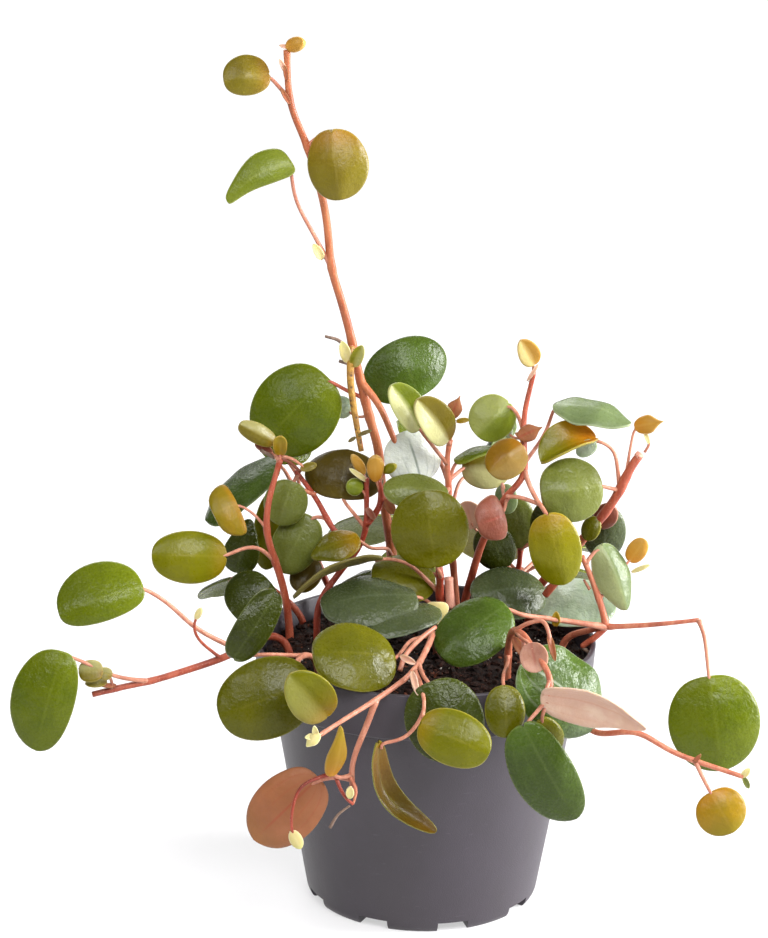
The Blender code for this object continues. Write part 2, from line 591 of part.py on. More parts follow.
def leafy_stem(name, spec, collection, pieces):
    """One shoot: main stem, side branches, stalks and blades, fused."""
    x, y = spec["foot"]
    way = [(x, y, SOIL_Z - ROOT_DEPTH), (x, y, SOIL_Z - 2), (x, y, SOIL_Z + 3), *spec["stem"]]
    material = leaf_material(spec["colour"])
    routes = [smooth_route(way, STEM_STEP)]
    body = tube(name, routes[0], spec["radius"], spec["end_radius"], material, collection)
    for index, (points, radius) in enumerate(spec["branches"]):
        routes.append(smooth_route([on_stem(routes, points[0]), *points[1:]], STEM_STEP))
        tube(f"branch_{index}", routes[-1], radius, radius * 0.7, material, pieces)
    for index, leaf_spec in enumerate(spec["leaves"]):
        first, *others = leaf_spec["stalk"]
        rooted = {**leaf_spec, "stalk": [on_stem(routes, first), *others]}
        leaf_pieces(f"leaf_{index}", rooted, material, pieces)
    return fused(body, pieces, collection)


def turned(name, profile, sides, material, collection):
    """A turned shape from its profile, given as a ring of radius and height pairs."""
    mesh = bpy.data.meshes.new(name)
    work = bmesh.new()
    ring = [work.verts.new((radius * MM, 0.0, height * MM)) for radius, height in profile]
    for start, end in zip(ring, ring[1:] + ring[:1]):
        work.edges.new((start, end))
    work.to_mesh(mesh)
    work.free()
    mesh.materials.append(material)
    made = mesh_object(name, mesh, collection)
    screw = made.modifiers.new("turn", "SCREW")
    screw.steps = sides
    screw.render_steps = sides
    screw.use_merge_vertices = True
    screw.merge_threshold = 0.00001
    return made


def cutter(name, work, place, cutters):
    """An object that only cuts, placed by its centre."""
    mesh = bpy.data.meshes.new(name)
    work.to_mesh(mesh)
    work.free()
    made = mesh_object(name, mesh, cutters)
    made.location = Vector(place) * MM
    made.hide_render = True
    made.display_type = "WIRE"
    return made


def box_cutter(name, size, place, cutters):
    """A cutting box of a given size."""
    work = bmesh.new()
    bmesh.ops.create_cube(work, size=1.0)
    bmesh.ops.scale(work, verts=work.verts, vec=[value * MM for value in size])
    return cutter(name, work, place, cutters)


def round_cutter(name, radius, depth, place, cutters):
    """A cutting bar, upright and round."""
    work = bmesh.new()
    bmesh.ops.create_cone(work, cap_ends=True, segments=HOLE_SIDES, depth=depth * MM,
                          radius1=radius * MM, radius2=radius * MM)
    return cutter(name, work, place, cutters)


def about_axis(reach, turn):
    """The place at a distance from the pot's axis, in the plane of its underside."""
    return (reach * math.cos(turn), reach * math.sin(turn), 0.0)


def cut(made, cutters):
    """Cuts everything in a collection out of an object."""
    difference = made.modifiers.new("cut", "BOOLEAN")
    difference.operation = "DIFFERENCE"
    difference.operand_type = "COLLECTION"
    difference.collection = cutters
    difference.solver = "EXACT"


def pot(collection, cutters):
    """The nursery pot: a rim band over a tapering wall, a flat underside, foot gaps and drain holes."""
    band_foot = POT_HEIGHT - RIM_BAND
    profile = [
        (RIM_RADIUS - RIM_LIP, POT_HEIGHT),
        (RIM_RADIUS - 0.5, POT_HEIGHT),
        (RIM_RADIUS, POT_HEIGHT - 0.7),
        (RIM_RADIUS - BAND_TAPER, band_foot),
        (RIM_RADIUS - BAND_TAPER - 0.8, band_foot - 0.6),
        (WALL_TOP_RADIUS, band_foot - 1.2),
        (WALL_FOOT_RADIUS, WALL_FOOT_Z),
        (WALL_FOOT_RADIUS - 0.5, 1.8),
        (WALL_FOOT_RADIUS - 1.6, 0.0),
        (0.0, 0.0),
        (0.0, FLOOR_TOP_Z),
        (WALL_FOOT_RADIUS - WALL - 0.8, FLOOR_TOP_Z),
        (WALL_FOOT_RADIUS - WALL, FLOOR_TOP_Z + 2.1),
        (WALL_TOP_RADIUS - WALL, band_foot - 0.2),
        (RIM_RADIUS - BAND_TAPER - RIM_LIP, band_foot + 0.9),
    ]
    made = turned("pot", profile, POT_SIDES, pot_material(), collection)
    for index in range(FOOT_GAPS):
        turn = math.radians(FOOT_GAP_TURN) + 2 * math.pi * index / FOOT_GAPS
        gap = box_cutter(f"foot_gap_{index}", FOOT_GAP_SIZE, about_axis(FOOT_GAP_REACH, turn), cutters)
        gap.rotation_euler.z = turn
    for index in range(DRAIN_HOLES):
        turn = 2 * math.pi * index / DRAIN_HOLES
        round_cutter(f"drain_{index}", DRAIN_RADIUS, 4 * FLOOR_TOP_Z, about_axis(DRAIN_REACH, turn), cutters)
    cut(made, cutters)
    return made


def soil_height(x, y):
    """How far the soil's surface stands over or under its level, in millimetres."""
    return SOIL_RELIEF * (math.sin(0.21 * x + 1.3) * math.cos(0.17 * y) + 0.5 * math.sin(0.34 * y + 0.6))


def soil(collection, cutters):
    """The soil: it fills the pot, and every stem stands in a plain hole in it."""
    band_foot = POT_HEIGHT - RIM_BAND
    wall_radius = WALL_TOP_RADIUS - WALL - SOIL_CLEAR
    profile = [
        (0.0, SOIL_Z),
        (20.0, SOIL_Z),
        (38.0, SOIL_Z),
        (RIM_RADIUS - BAND_TAPER - RIM_LIP - SOIL_CLEAR, SOIL_Z),
        (RIM_RADIUS - BAND_TAPER - RIM_LIP - SOIL_CLEAR, band_foot + 1.5),
        (wall_radius, band_foot + 0.3),
        (WALL_FOOT_RADIUS - WALL - 1.3, FLOOR_TOP_Z + 0.3),
        (0.0, FLOOR_TOP_Z + 0.3),
    ]
    made = turned("soil", profile, SOIL_SIDES, soil_material(), collection)
    made = faceted(settled(made, "soil", collection))
    for vertex in made.data.vertices:
        x, y, z = vertex.co / MM
        if z > SOIL_Z - 0.1 and math.hypot(x, y) < 50.0:
            vertex.co.z += soil_height(x, y) * MM
    depth = ROOT_DEPTH + HOLE_OVER
    middle = SOIL_Z - ROOT_DEPTH - HOLE_UNDER + depth / 2
    for name, spec in SHOOTS.items():
        round_cutter("hole_" + name, spec["radius"] + HOLE_CLEAR, depth, (*spec["foot"], middle), cutters)
    cut(made, cutters)
    return made


def new_collection(name):
    collection = bpy.data.collections.new(name)
    bpy.context.scene.collection.children.link(collection)
    return collection


def main():
    for old in list(bpy.data.objects):
        bpy.data.objects.remove(old, do_unlink=True)
    plant = new_collection("potted_peperomia")
    pieces = new_collection("pieces_to_join")
    for name, spec in SHOOTS.items():
        leafy_stem(name, spec, plant, pieces)
    soil(plant, new_collection("soil_cutters"))
    pot(plant, new_collection("pot_cutters"))
    for made in plant.objects:
        made.data.shade_smooth()
        made.data.set_sharp_from_angle(angle=math.radians(40))


main()
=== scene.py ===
"""The looks of a potted peperomia: thick round leaves on coral stems, over a plastic nursery pot of soil.

Lengths in the tables are millimetres, from the centre of the pot's underside: +X to the right,
-Y towards the viewer, +Z up. MM turns them into metres.
"""

import math
import random

import bmesh
import bpy
from mathutils import Matrix, Vector, noise


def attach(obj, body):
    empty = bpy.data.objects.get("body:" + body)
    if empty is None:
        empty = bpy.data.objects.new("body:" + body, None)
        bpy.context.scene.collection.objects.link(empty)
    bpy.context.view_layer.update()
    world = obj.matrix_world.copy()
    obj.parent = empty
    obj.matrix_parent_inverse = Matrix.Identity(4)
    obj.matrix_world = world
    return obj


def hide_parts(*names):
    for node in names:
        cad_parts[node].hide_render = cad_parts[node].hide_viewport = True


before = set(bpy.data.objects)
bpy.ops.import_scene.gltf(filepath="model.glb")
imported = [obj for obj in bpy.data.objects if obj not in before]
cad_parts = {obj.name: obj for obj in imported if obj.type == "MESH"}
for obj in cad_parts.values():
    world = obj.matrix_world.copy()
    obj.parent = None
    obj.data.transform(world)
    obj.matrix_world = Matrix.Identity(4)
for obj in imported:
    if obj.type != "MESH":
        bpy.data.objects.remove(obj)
bpy.context.scene.view_settings.view_transform = "Standard"
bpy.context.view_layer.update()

MM = 0.001

# Camera: 0.95 m from the pot's rim, 19 degrees above it, turned a little about its own axis.
CAMERA_PLACE = (-15.0, -896.6, 408.0)
CAMERA_DOWN = 15.76
CAMERA_ROLL = 0.6
CAMERA_LENS = 103.7
CAMERA_SENSOR = 36.0

# Pot.
RIM_RADIUS = 60.0
POT_HEIGHT = 94.0
RIM_BAND = 16.0
WALL_TOP_RADIUS = 54.0
WALL_FOOT_RADIUS = 41.6
WALL = 1.4
FLOOR_TOP_Z = 5.6
POT_SIDES = 192
FOOT_GAPS = 9
FOOT_GAP_SIZE = (14.0, 11.0, 7.2)
FOOT_GAP_REACH = 38.6
FOOT_GAP_TURN = 5.0
DRAIN_HOLES = 4
DRAIN_RADIUS = 3.5
DRAIN_REACH = 22.0

# Soil.
SOIL_Z = 88.0
SOIL_RADIUS = 56.0
ROOT_DEPTH = 9.0
SOIL_RELIEF = 0.9
SOIL_CRUMBLE = ((0.77, 0.22), (0.49, 0.55), (0.245, 1.3))
SOIL_EDGE_DROP = 0.8
CRUMB_COUNT = 2600
CHIP_COUNT = 260
FLECK_COUNT = 160
SOIL_SPOKES = 168
SOIL_RINGS = 60
CRUMB_REACH = 54.5

# Fineness of the plant.
STEM_SIDES = 12
STALK_SIDES = 10
ROUTE_STEP = 1.6
BLADE_ROWS = 24
BLADE_COLUMNS = 16
BLADE_THICKNESS = 1.3
STALK_RADIUS = 0.75
STEM_EASE = 14
STALK_EASE = 4
TWIG_STEP = 0.8
TWIG_EASE = 2
STEM_TAPER = 1.5
STEM_RIBS = 0.02
SNAP_REACH = 4.5

# Blades: below the small length they have fewer points and are thinner.
SMALL_BLADE = 16.0
LEAST_ROWS = 10
LEAST_COLUMNS = 8
BLADE_BOWL = 1.6
EDGE_SQUARENESS = 7
CREASE_WIDTH = 0.9
BLUSH_REACH = 0.38
# How softly the painted highlight on one half of a blade fades out across the midrib.
HALF_BLEND = 0.12
UNEVENNESS = 0.5
BUMPS_PER_MM = 0.16

# Joints, where a stem swells a little.
JOINT_SWELLING = 0.16
JOINT_REACH = 2.0
MOST_SWELLING = 0.2

# Which way a blade's upper side looks.
VIEWER = (0.0, -0.94, 0.34)
UP_FRONT = (0.0, -0.6, 0.8)
UP_BACK = (0.0, 0.5, 0.86)
BACK = (0.0, 0.94, 0.34)

# Lights.
SKY_TOP = 0.4
SKY_LEVEL = 0.06
SKY_BACK = 0.35
KEY_POWER = 17.0
FILL_POWER = 6.0
SIDE_POWER = 40.0
BACK_POWER = 7.0
FLOOR_GLOW = 0.55


def leaf(look, stalk, base, tip, width, face=VIEWER, cup=-0.24, arch=0.09, **shape):
    """One leaf: its look, its stalk's way from the stem, then its blade from base to tip, and its shape.

    Cup lifts both edges and arch the middle of its length; full rounds its outline, wide says where it is
    broadest, point narrows its tip, sweep bends it sideways, skew broadens its right half at the left one's
    cost, wave ripples its edges, fold raises both halves by an angle and lobe draws its base back. Blush
    warms its base. Pale paints a highlight into its right half, or its left one when it is negative: the
    sheen where that half faces the light, and on some small tan leaves also their own paler colour.
    """
    spec = {"look": look, "stalk": stalk, "base": base, "tip": tip, "width": width, "face": face,
            "cup": cup, "arch": arch, "thick": BLADE_THICKNESS, "full": 0.9, "wide": 0.47, "point": 0.0,
            "sweep": 0.0, "skew": 0.0, "wave": 0.0, "waves": 1.0, "crease": 0.12, "fold": 0.0, "lobe": 0.03,
            "blush": 0.0, "pale": 0.0, "tint": None, "under": None,
            "stalk_look": "salmon", "stalk_radius": STALK_RADIUS}
    spec.update(shape)
    return spec


def shoot(slot, bark, foot, stem, radius, leaves, branches=(), end_radius=None, extras=(), bars=()):
    """One leafy stem: a slot name, which is not used, its bark, its foot in the soil, its way up, and what
    grows on it.

    The extras are small leaves, scales and buds without a stalk; the bars are twigs, hooks and cut ends.
    """
    return {"slot": slot, "bark": bark, "foot": foot, "stem": stem, "radius": radius, "leaves": leaves,
            "branches": branches, "end_radius": end_radius or radius * 0.6, "extras": extras, "bars": bars}


def scale(look, base, tip, width, face=VIEWER, cup=0.3, arch=0.1, **shape):
    """A small leaf, bud or bud scale that sits on the stem without a stalk."""
    return leaf(look, [], base, tip, width, face, cup, arch, **{"thick": 0.7, **shape})


def twig(look, points, radius, end_radius=None):
    """A thin bar along a few points: a dry twig, a hook, a flower spike or a cut end."""
    return {"look": look, "points": points, "radius": radius, "end_radius": end_radius or radius}


SHOOTS = {}

# The tall shoot: bare below, with four young leaves at the top and an old flower spike.
SHOOTS["stem_tall"] = shoot(
    "leaf_olive", "amber",
    (-10, 28),
    [(-11, 27, 104), (-12, 26, 117), (-14, 25, 130), (-16, 24, 143), (-17, 23, 156), (-19, 22, 163),
     (-21, 22, 170), (-23, 21, 179), (-25, 20, 187), (-27, 20, 197), (-31, 19, 212), (-34, 18, 222),
     (-36, 16, 242), (-42, 14, 264), (-48, 13, 279), (-49, 12, 297)],
    1.8,
    [leaf("bud", [(-49, 12, 296)], (-49, 12, 298), (-43, 10, 300), 5.4, thick=3.4, blush=0.3),
     leaf("tan", [(-49, 13, 281), (-53, 12, 286)], (-55, 11, 289), (-70, 8, 287), 14,
          full=0.8, skew=0.12, blush=0.1),
     leaf("fresh", [(-34, 18, 222), (-39, 16, 232), (-46, 14, 246)], (-48, 12, 259), (-69, 8, 246), 12,
          wide=0.26, skew=0.2, full=0.6, point=0.4, sweep=0.08),
     leaf("tan", [(-42, 14, 264), (-38, 14, 268)], (-34, 12, 269), (-31, 8, 247), 21,
          skew=-0.1, fold=-7, lobe=0.07, blush=0.12),
     leaf("green", [(-22, 22, 174), (-29, 20, 178)], (-36, 20, 182), (-58, 19, 157.5), 30.5,
          cup=-0.28, arch=0.1, full=0.85, stalk_look="brick"),
     leaf("olive", [(-12, 25, 116), (-14, 14, 122), (-20, 10, 123)], (-24, 9, 127.5), (-40, 4, 121.5), 13,
          UP_FRONT, point=0.4, blush=0.25),
     # This leaf faces up, and its whitish colour is a painted reflection of the sky.
     leaf("silver", [(-10, 16, 159), (-6, 17, 151)], (-2, 13, 147), (-8, 17, 164), 21,
          (0.1, -0.75, 0.66), wave=0.03, crease=0.4),
     leaf("grey", [(-21, 22, 168), (-24, 27, 166)], (-27, 30, 167), (-34, 32, 171), 8)],
    branches=[([(-27, 19, 195), (-27, 15, 183), (-26, 14, 175), (-25, 13, 169), (-23, 12, 159)], 1.2),
              ([(-23, 21, 181), (-18, 18, 175), (-15, 16, 170), (-12, 15, 162), (-9, 16, 156)], 1.3)],
    extras=[scale("blush", (-48, 12, 297.6), (-51.5, 11, 298.6), 1.6),
            scale("blush", (-49, 12, 289), (-51.5, 11, 294), 1.8),
            scale("copper", (-49, 11, 287), (-49.6, 10.6, 292), 1.7),
            scale("copper", (-48, 12, 279), (-51, 11.4, 284), 1.8),
            scale("cream", (-37, 17, 225), (-40, 15, 230.5), 3.2),
            scale("cream", (-28, 16, 189), (-30, 15, 196.5), 4.0),
            scale("yellow", (-26, 16, 187.5), (-23, 15, 195), 4.6, pale=0.4),
            scale("brown", (-24, 11, 164), (-19.5, 12, 165.5), 1.6),
            scale("brown", (-25, 12, 163), (-27.5, 11, 161.5), 1.4)],
    bars=[twig("spike", [(-27, 18, 194), (-27, 15, 183), (-26, 14, 175), (-25, 13, 169), (-23, 12, 158)],
               1.45, 1.0),
          twig("dry", [(-36, 18, 197.5), (-34, 18, 197), (-31, 18, 196), (-27.5, 18, 192)], 0.5, 0.8),
          twig("dry", [(-31, 17, 189), (-27, 16, 188)], 0.6)],
)

# The arching shoot at the left, with a yellow-olive leaf held out sideways.
SHOOTS["stem_arching"] = shoot(
    "leaf_yellow", "brick",
    (-48, 14),
    [(-49, 12, 101), (-50, 11, 108), (-53, 8, 119), (-56, 5, 131), (-55, 5, 142), (-53, 7, 149),
     (-51, 8, 156)],
    1.5,
    [leaf("tan", [(-51, 8, 155)], (-53, 8, 162), (-65, 5, 169), 7.4, (-0.3, -0.8, 0.5),
          fold=-12, full=0.75, pale=0.35),
     leaf("pink", [(-51, 8, 155)], (-54, 10, 158), (-60, 12, 160), 3),
     leaf("ochre", [(-51, 8, 155)], (-51, 7, 158), (-51, 5, 165), 5, cup=0.45, wide=0.65, full=0.6),
     leaf("ochre", [(-56, 5, 131), (-60, 4, 137)], (-66, 3, 141), (-74, 0, 138), 19.5, (-0.2, -0.9, 0.3),
          wide=0.24, skew=-0.1, full=0.6),
     leaf("yellow", [(-53, 8, 119), (-59, 4, 125), (-65, 1, 125)], (-70, -1, 123), (-95, -6, 125), 18.5,
          skew=-0.06, full=0.85)],
    extras=[scale("tan", (-44, 9, 152), (-38.5, 10, 153.5), 3.2, thick=1.4)],
    bars=[twig("pink", [(-51, 8, 156), (-48, 8, 155), (-44, 9, 151)], 0.7, 0.55),
          twig("salmon", [(-51, 8, 157), (-47, 8, 156), (-43, 9, 153)], 0.65, 0.5),
          twig("dry", [(-58, 10, 158.5), (-53, 9, 156)], 0.7, 0.6)],
)

# The forked shoot: one arm ends in a cluster of yellow buds, the other leans to the left.
SHOOTS["stem_forked"] = shoot(
    "leaf_green", "crimson",
    (-38, 4),
    [(-38, 6, 103), (-35, 8, 108), (-28, 11, 117), (-23, 13, 123), (-21, 12, 130), (-21, 10, 139),
     (-21, 9, 149)],
    1.3,
    [leaf("bud", [(-21, 9, 148)], (-22, 9, 151), (-26, 6, 158), 3.8, thick=2.4),
     leaf("bud", [(-16, 10, 142), (-17, 8, 147)], (-18, 7, 149), (-18, 5, 158), 6.2,
          thick=3.6, wide=0.55, blush=0.5),
     leaf("yellow", [(-17, 8, 147)], (-15, 7, 152), (-11, 5, 155), 3.6, thick=2.4),
     leaf("fresh", [(-21, 10, 141), (-21, 9, 144)], (-22.5, 9, 145), (-28, 8, 147), 6.4, thick=2.0),
     leaf("brown", [(-22, 13, 130), (-26, 12, 136)], (-30, 12, 141), (-28, 21, 156), 28,
          (0.0, -0.75, 0.6), cup=-0.3, wave=0.015),
     leaf("sage", [(-35, 15, 132), (-38, 16, 133)], (-41, 16, 132.5), (-51, 13, 113), 17,
          full=0.85),
     leaf("sage", [(-45, 15, 149), (-46, 15, 147)], (-47, 13.5, 146), (-52, 11.5, 131), 15.5)],
    branches=[([(-24, 13, 121), (-31, 14, 126), (-35, 15, 132), (-37, 15, 137), (-41, 15, 143),
                (-46, 14, 150)], 1.1),
              ([(-21, 12, 131), (-17, 11, 136), (-15, 10, 141), (-17, 8, 149)], 1.2)],
    extras=[scale("cream", (-21, 9, 148), (-27, 7, 153), 2.0),
            scale("copper", (-14, 10, 141), (-11.5, 9, 136), 3.6, thick=2.2),
            scale("pink", (-21, 10, 138), (-18, 9, 134), 2.4, thick=1.8)],
    bars=[twig("coral", [(-43, 14, 143), (-39, 15, 141)], 0.8, 0.9)],
)

# The middle shoot, with the big round olive leaf and the dark leaves that lie over the soil.
SHOOTS["stem_middle"] = shoot(
    "leaf_olive", "crimson",
    (8, 12),
    [(7, 9, 98), (5, 4, 107), (5, -4, 118)],
    1.9,
    [leaf("olive", [(5, -4, 117), (5, -8, 120)], (3, -9, 123), (-1, -6, 149), 27,
          cup=-0.24, full=0.85, tint=0.1),
     leaf("olive", [(6, 6, 106)], (3, 5, 112), (-19, 4, 117), 19, UP_FRONT, cup=-0.3, tint=0.2),
     leaf("slate", [(6, 8, 99), (0, 2, 107)], (-4, -4, 110), (-36, -14, 109), 23, (0.0, -0.5, 0.86),
          full=0.8),
     leaf("slate", [(6, 8, 98), (5, 2, 102)], (4, -2, 105), (-20, -21, 102.5), 16, (0.1, -0.35, 0.93)),
     leaf("brown", [(5, 3, 109), (-6, 2, 120)], (-16, -1, 123), (-46, -9, 111), 17, (-0.3, 0.4, 0.87),
          cup=0.1),
     leaf("cream", [(7, 9, 98), (7, 3, 105)], (4, -1, 107), (4, -2, 99), 8.5, UP_FRONT,
          wide=0.3, full=0.7, point=0.7)],
    branches=[([(7, 10, 96), (10, 6, 102), (8, 3, 114.6)], 1.5)],
    bars=[twig("cut", [(9, 3, 104), (8.3, 3, 110), (8, 3, 114.8)], 1.62)],
)

# The upper middle shoot: pale folded young leaves in front of a big dark one.
SHOOTS["stem_crown"] = shoot(
    "leaf_green", "coral",
    (12, 28),
    [(11, 26, 103), (10, 23, 114), (8, 19, 131), (8, 17, 143), (7, 15, 151), (7, 14, 158), (8, 13, 162)],
    1.4,
    [leaf("deep", [(8, 16, 146), (2, 26, 158)], (-3, 32, 173), (-12, 36, 192), 32, (0.1, -0.85, 0.5),
          cup=-0.3, arch=0.1),
     # These two carry a painted highlight on their left halves, the sheen where they face the light.
     leaf("fresh", [(7, 14, 152), (2, 12, 160)], (-3, 10, 167), (-13, 7, 183), 12.5, (0.4, -0.85, 0.3),
          cup=0.0, fold=13, full=0.85, pale=-0.8),
     leaf("tan", [(8, 13, 161)], (7, 10, 163), (-4, 3, 179), 13.5, (0.3, -0.9, 0.3),
          cup=0.0, fold=13, full=0.85, pale=-0.8),
     leaf("copper", [(8, 13, 160), (9, 14, 166)], (8, 13, 170), (11, 12, 178), 5.4, point=0.8),
     leaf("sage", [(8, 17, 143), (7, 10, 144)], (7, 5, 145), (-15, -1, 148), 14, (0.0, -0.75, 0.66),
          cup=-0.35),
     leaf("green", [(8, 17, 143), (9, 18, 150)], (10, 18, 153), (23, 19, 158), 10, (-0.4, -0.1, 0.9)),
     leaf("tan", [(11, 18, 148), (12, 20, 149)], (13, 22, 150), (30, 25, 148), 15, pale=0.7),
     leaf("green", [(11, 24, 114), (4, 34, 122), (2, 42, 130)], (0, 48, 136), (-8, 62, 156), 28, UP_BACK),
     leaf("deep", [(8, 19, 130), (12, 31, 142)], (18, 38, 143), (32, 48, 160), 26, (0.3, 0.5, 0.8))],
    extras=[scale("ochre", (10, 12, 169), (14.5, 11, 170), 2.0)],
)

# The upper right shoot: a long bare tip with a young leaf, and leaves all along it.
SHOOTS["stem_upper_right"] = shoot(
    "leaf_olive", "brick",
    (14, 20),
    [(14, 18, 101), (16, 14, 110), (18, 8, 121), (20, 4, 129), (24, 0, 139), (27, -2, 146),
     (30, -3, 150), (34, -4, 154), (33, -1, 160), (33, 2, 165), (33, 5, 174), (35, 5, 183), (36, 4, 189)],
    1.5,
    [leaf("bud", [(36, 4, 188)], (36, 3, 192), (31, 0, 201), 8, cup=0.0, fold=14, pale=-0.55),
     leaf("grey", [(33, 3, 166), (31, 8, 164)], (29, 11, 164), (26, 13, 168), 4),
     leaf("copper", [(33, 2, 165)], (31, -1, 167), (39, -2, 171), 6, point=0.8),
     leaf("rust", [(33, 0, 162)], (32, -4, 165), (21, -7, 156), 14, (-0.2, -0.9, 0.3),
          fold=-10, full=0.85, pale=-0.15),
     leaf("mist", [(27, -1, 145), (26, 8, 148)], (27, 13, 146), (29, 11, 136), 8),
     leaf("mist", [(34, -2, 158), (36, 4, 160), (41, 10, 166)], (44, 9, 176), (70, 4, 171), 17,
          (0.15, -0.35, 0.92), point=0.35, wave=0.02, waves=2),
     leaf("yellow", [(34, -4, 156), (36, -6, 149), (39, -10, 145)], (41, -14, 143), (47, -16, 119), 18,
          full=0.85, blush=0.1, stalk_radius=0.9),
     leaf("pink", [(27, -3, 146)], (26.5, -7, 141), (17, -12, 139), 16, (-0.2, -0.9, 0.1),
          wide=0.25, full=0.65),
     leaf("fresh", [(33, 4, 167), (31, 8, 173)], (28, 11, 176), (17, 8, 165), 16.5,
          cup=-0.1, fold=-10, full=0.85, skew=0.08, pale=0.25)],
    end_radius=0.8,
    extras=[scale("blush", (34, 4, 186), (37.5, 3, 192), 1.4),
            scale("copper", (33, 2, 166), (30, 1, 168), 2.0)],
    bars=[twig("salmon", [(27, -5, 147), (32, -6, 147), (39, -8, 145)], 0.75)],
)

# The right shoot, pruned at its top: its cut end stands clear above the leaves.
SHOOTS["stem_pruned"] = shoot(
    "leaf_olive", "brick",
    (38, 31),
    [(40, 30, 101), (46, 23, 112), (53, 15, 123), (58, 10, 131), (63, 7, 139), (67, 4, 147),
     (70, 2, 156), (73, 0, 161)],
    1.7,
    [leaf("sage", [(67, 4, 147), (64, 2, 148)], (60, 0, 150), (39, -7, 148.5), 22.5,
          full=0.8, fold=-4),
     leaf("yellow", [(67, 4, 148), (65, 5, 160), (62, 5, 163)], (58, 5, 165), (39, -1, 158), 15,
          (0.05, -0.35, 0.93), cup=0.75, full=0.85, blush=1.0),
     leaf("bud", [(68, 3, 152), (70, 2, 164)], (71, 0, 171), (80, -4, 174), 6.6,
          point=0.8, full=0.8, blush=0.5),
     leaf("pink", [(63, 8, 139)], (65, 12, 139), (61, 15, 130), 8.5),
     leaf("slate", [(62, 9, 137), (63, 15, 138)], (63, 18, 136), (64, 22, 116), 15.5, cup=-0.3),
     leaf("olive", [(59, 10, 132)], (59, 8, 136), (56, 6, 128), 7, (-0.4, -0.9, 0.0)),
     leaf("green", [(54, 14, 124), (58, 24, 129)], (58, 34, 132), (48, 46, 142), 18, (0.1, 0.5, 0.85))],
    end_radius=1.5,
    extras=[scale("grey", (58, 4, 164), (51.5, 3, 160), 5.6),
            scale("cream", (74, -1, 170), (76, -1, 165), 1.6)],
    bars=[twig("cut", [(72.4, 0.3, 160.2), (73.1, 0, 161.3)], 1.53),
          twig("salmon", [(74, -1, 170), (76, -1, 165.5), (74.6, 0, 162)], 0.5)],
)

# The low shoot at the right: its tip is cut, and one round leaf hangs from it.
SHOOTS["stem_right"] = shoot(
    "leaf_green", "coral",
    (48, 4),
    [(52, 0, 96), (58, -3, 98), (63, -5, 100)],
    1.4,
    [leaf("deep", [(63, -5, 100), (56, -8, 102), (47, -10, 104), (39, -13, 106), (32, -16, 108)],
          (27, -17, 111), (5, -29, 97), 23, (-0.25, -0.8, 0.55), full=0.85, stalk_radius=1.05),
     leaf("green", [(94, -14, 106), (96, -16, 101), (97, -17, 94)], (98, -18, 86), (103, -23, 54), 32,
          (0.0, -0.96, 0.2), cup=-0.26, full=0.87),
     leaf("mist", [(54, -2, 122), (58, -1, 126)], (61, 0, 128), (70, -4, 106), 14, (0.35, -0.9, 0.2),
          fold=-12, point=0.3, pale=0.3),
     leaf("bud", [(60, -4, 110), (66, 0, 117)], (71, 2, 122), (76, 2, 130), 7, full=0.8, blush=0.5)],
    branches=[([(63, -5, 100), (62, -5, 105), (58, -3, 116), (54, -2, 125)], 1.2),
              ([(63, -5, 100), (74, -9, 102), (84, -12, 104), (94, -14, 106)], 1.0)],
    extras=[scale("ochre", (45, -10, 102), (45, -11, 107.5), 3.0),
            scale("cream", (72, 2, 118), (78, 1, 121), 1.8)],
    bars=[twig("brick", [(63, -5, 100), (59, -5, 96), (55, -3, 92)], 1.2, 1.1),
          twig("dry", [(55, -3, 92), (58, -4, 89.6)], 1.0, 0.5),
          twig("salmon", [(57, -3, 113), (55, -1, 116)], 0.6, 0.4),
          twig("salmon", [(58, -3, 113), (61, -3, 114.5)], 0.6, 0.4),
          twig("cut", [(93.4, -14, 105.9), (94.3, -14, 106)], 0.85)],
)

# The long low shoot that runs out to the right, with an ochre leaf near its end.
SHOOTS["stem_right_low"] = shoot(
    "leaf_yellow", "coral",
    (33, -18),
    [(38, -28, 97), (45, -38, 98.5), (49, -42, 96), (51, -45, 90), (52, -48, 84), (54, -53, 79.5),
     (60, -59, 81), (69, -62, 84), (76, -64, 80), (84, -65, 76), (96, -68, 73), (104, -70, 71)],
    1.2,
    [leaf("ochre", [(88, -67, 75), (91, -70, 70)], (93.5, -71, 65.5), (101, -74, 53), 17,
          full=0.85, blush=0.15)],
    end_radius=0.8,
    extras=[scale("cream", (103.5, -70, 71), (106, -70, 74), 2.4),
            scale("sage", (104, -70, 71), (106, -70, 67), 2.0),
            scale("copper", (88, -67, 75), (90, -68, 78), 1.6)],
)

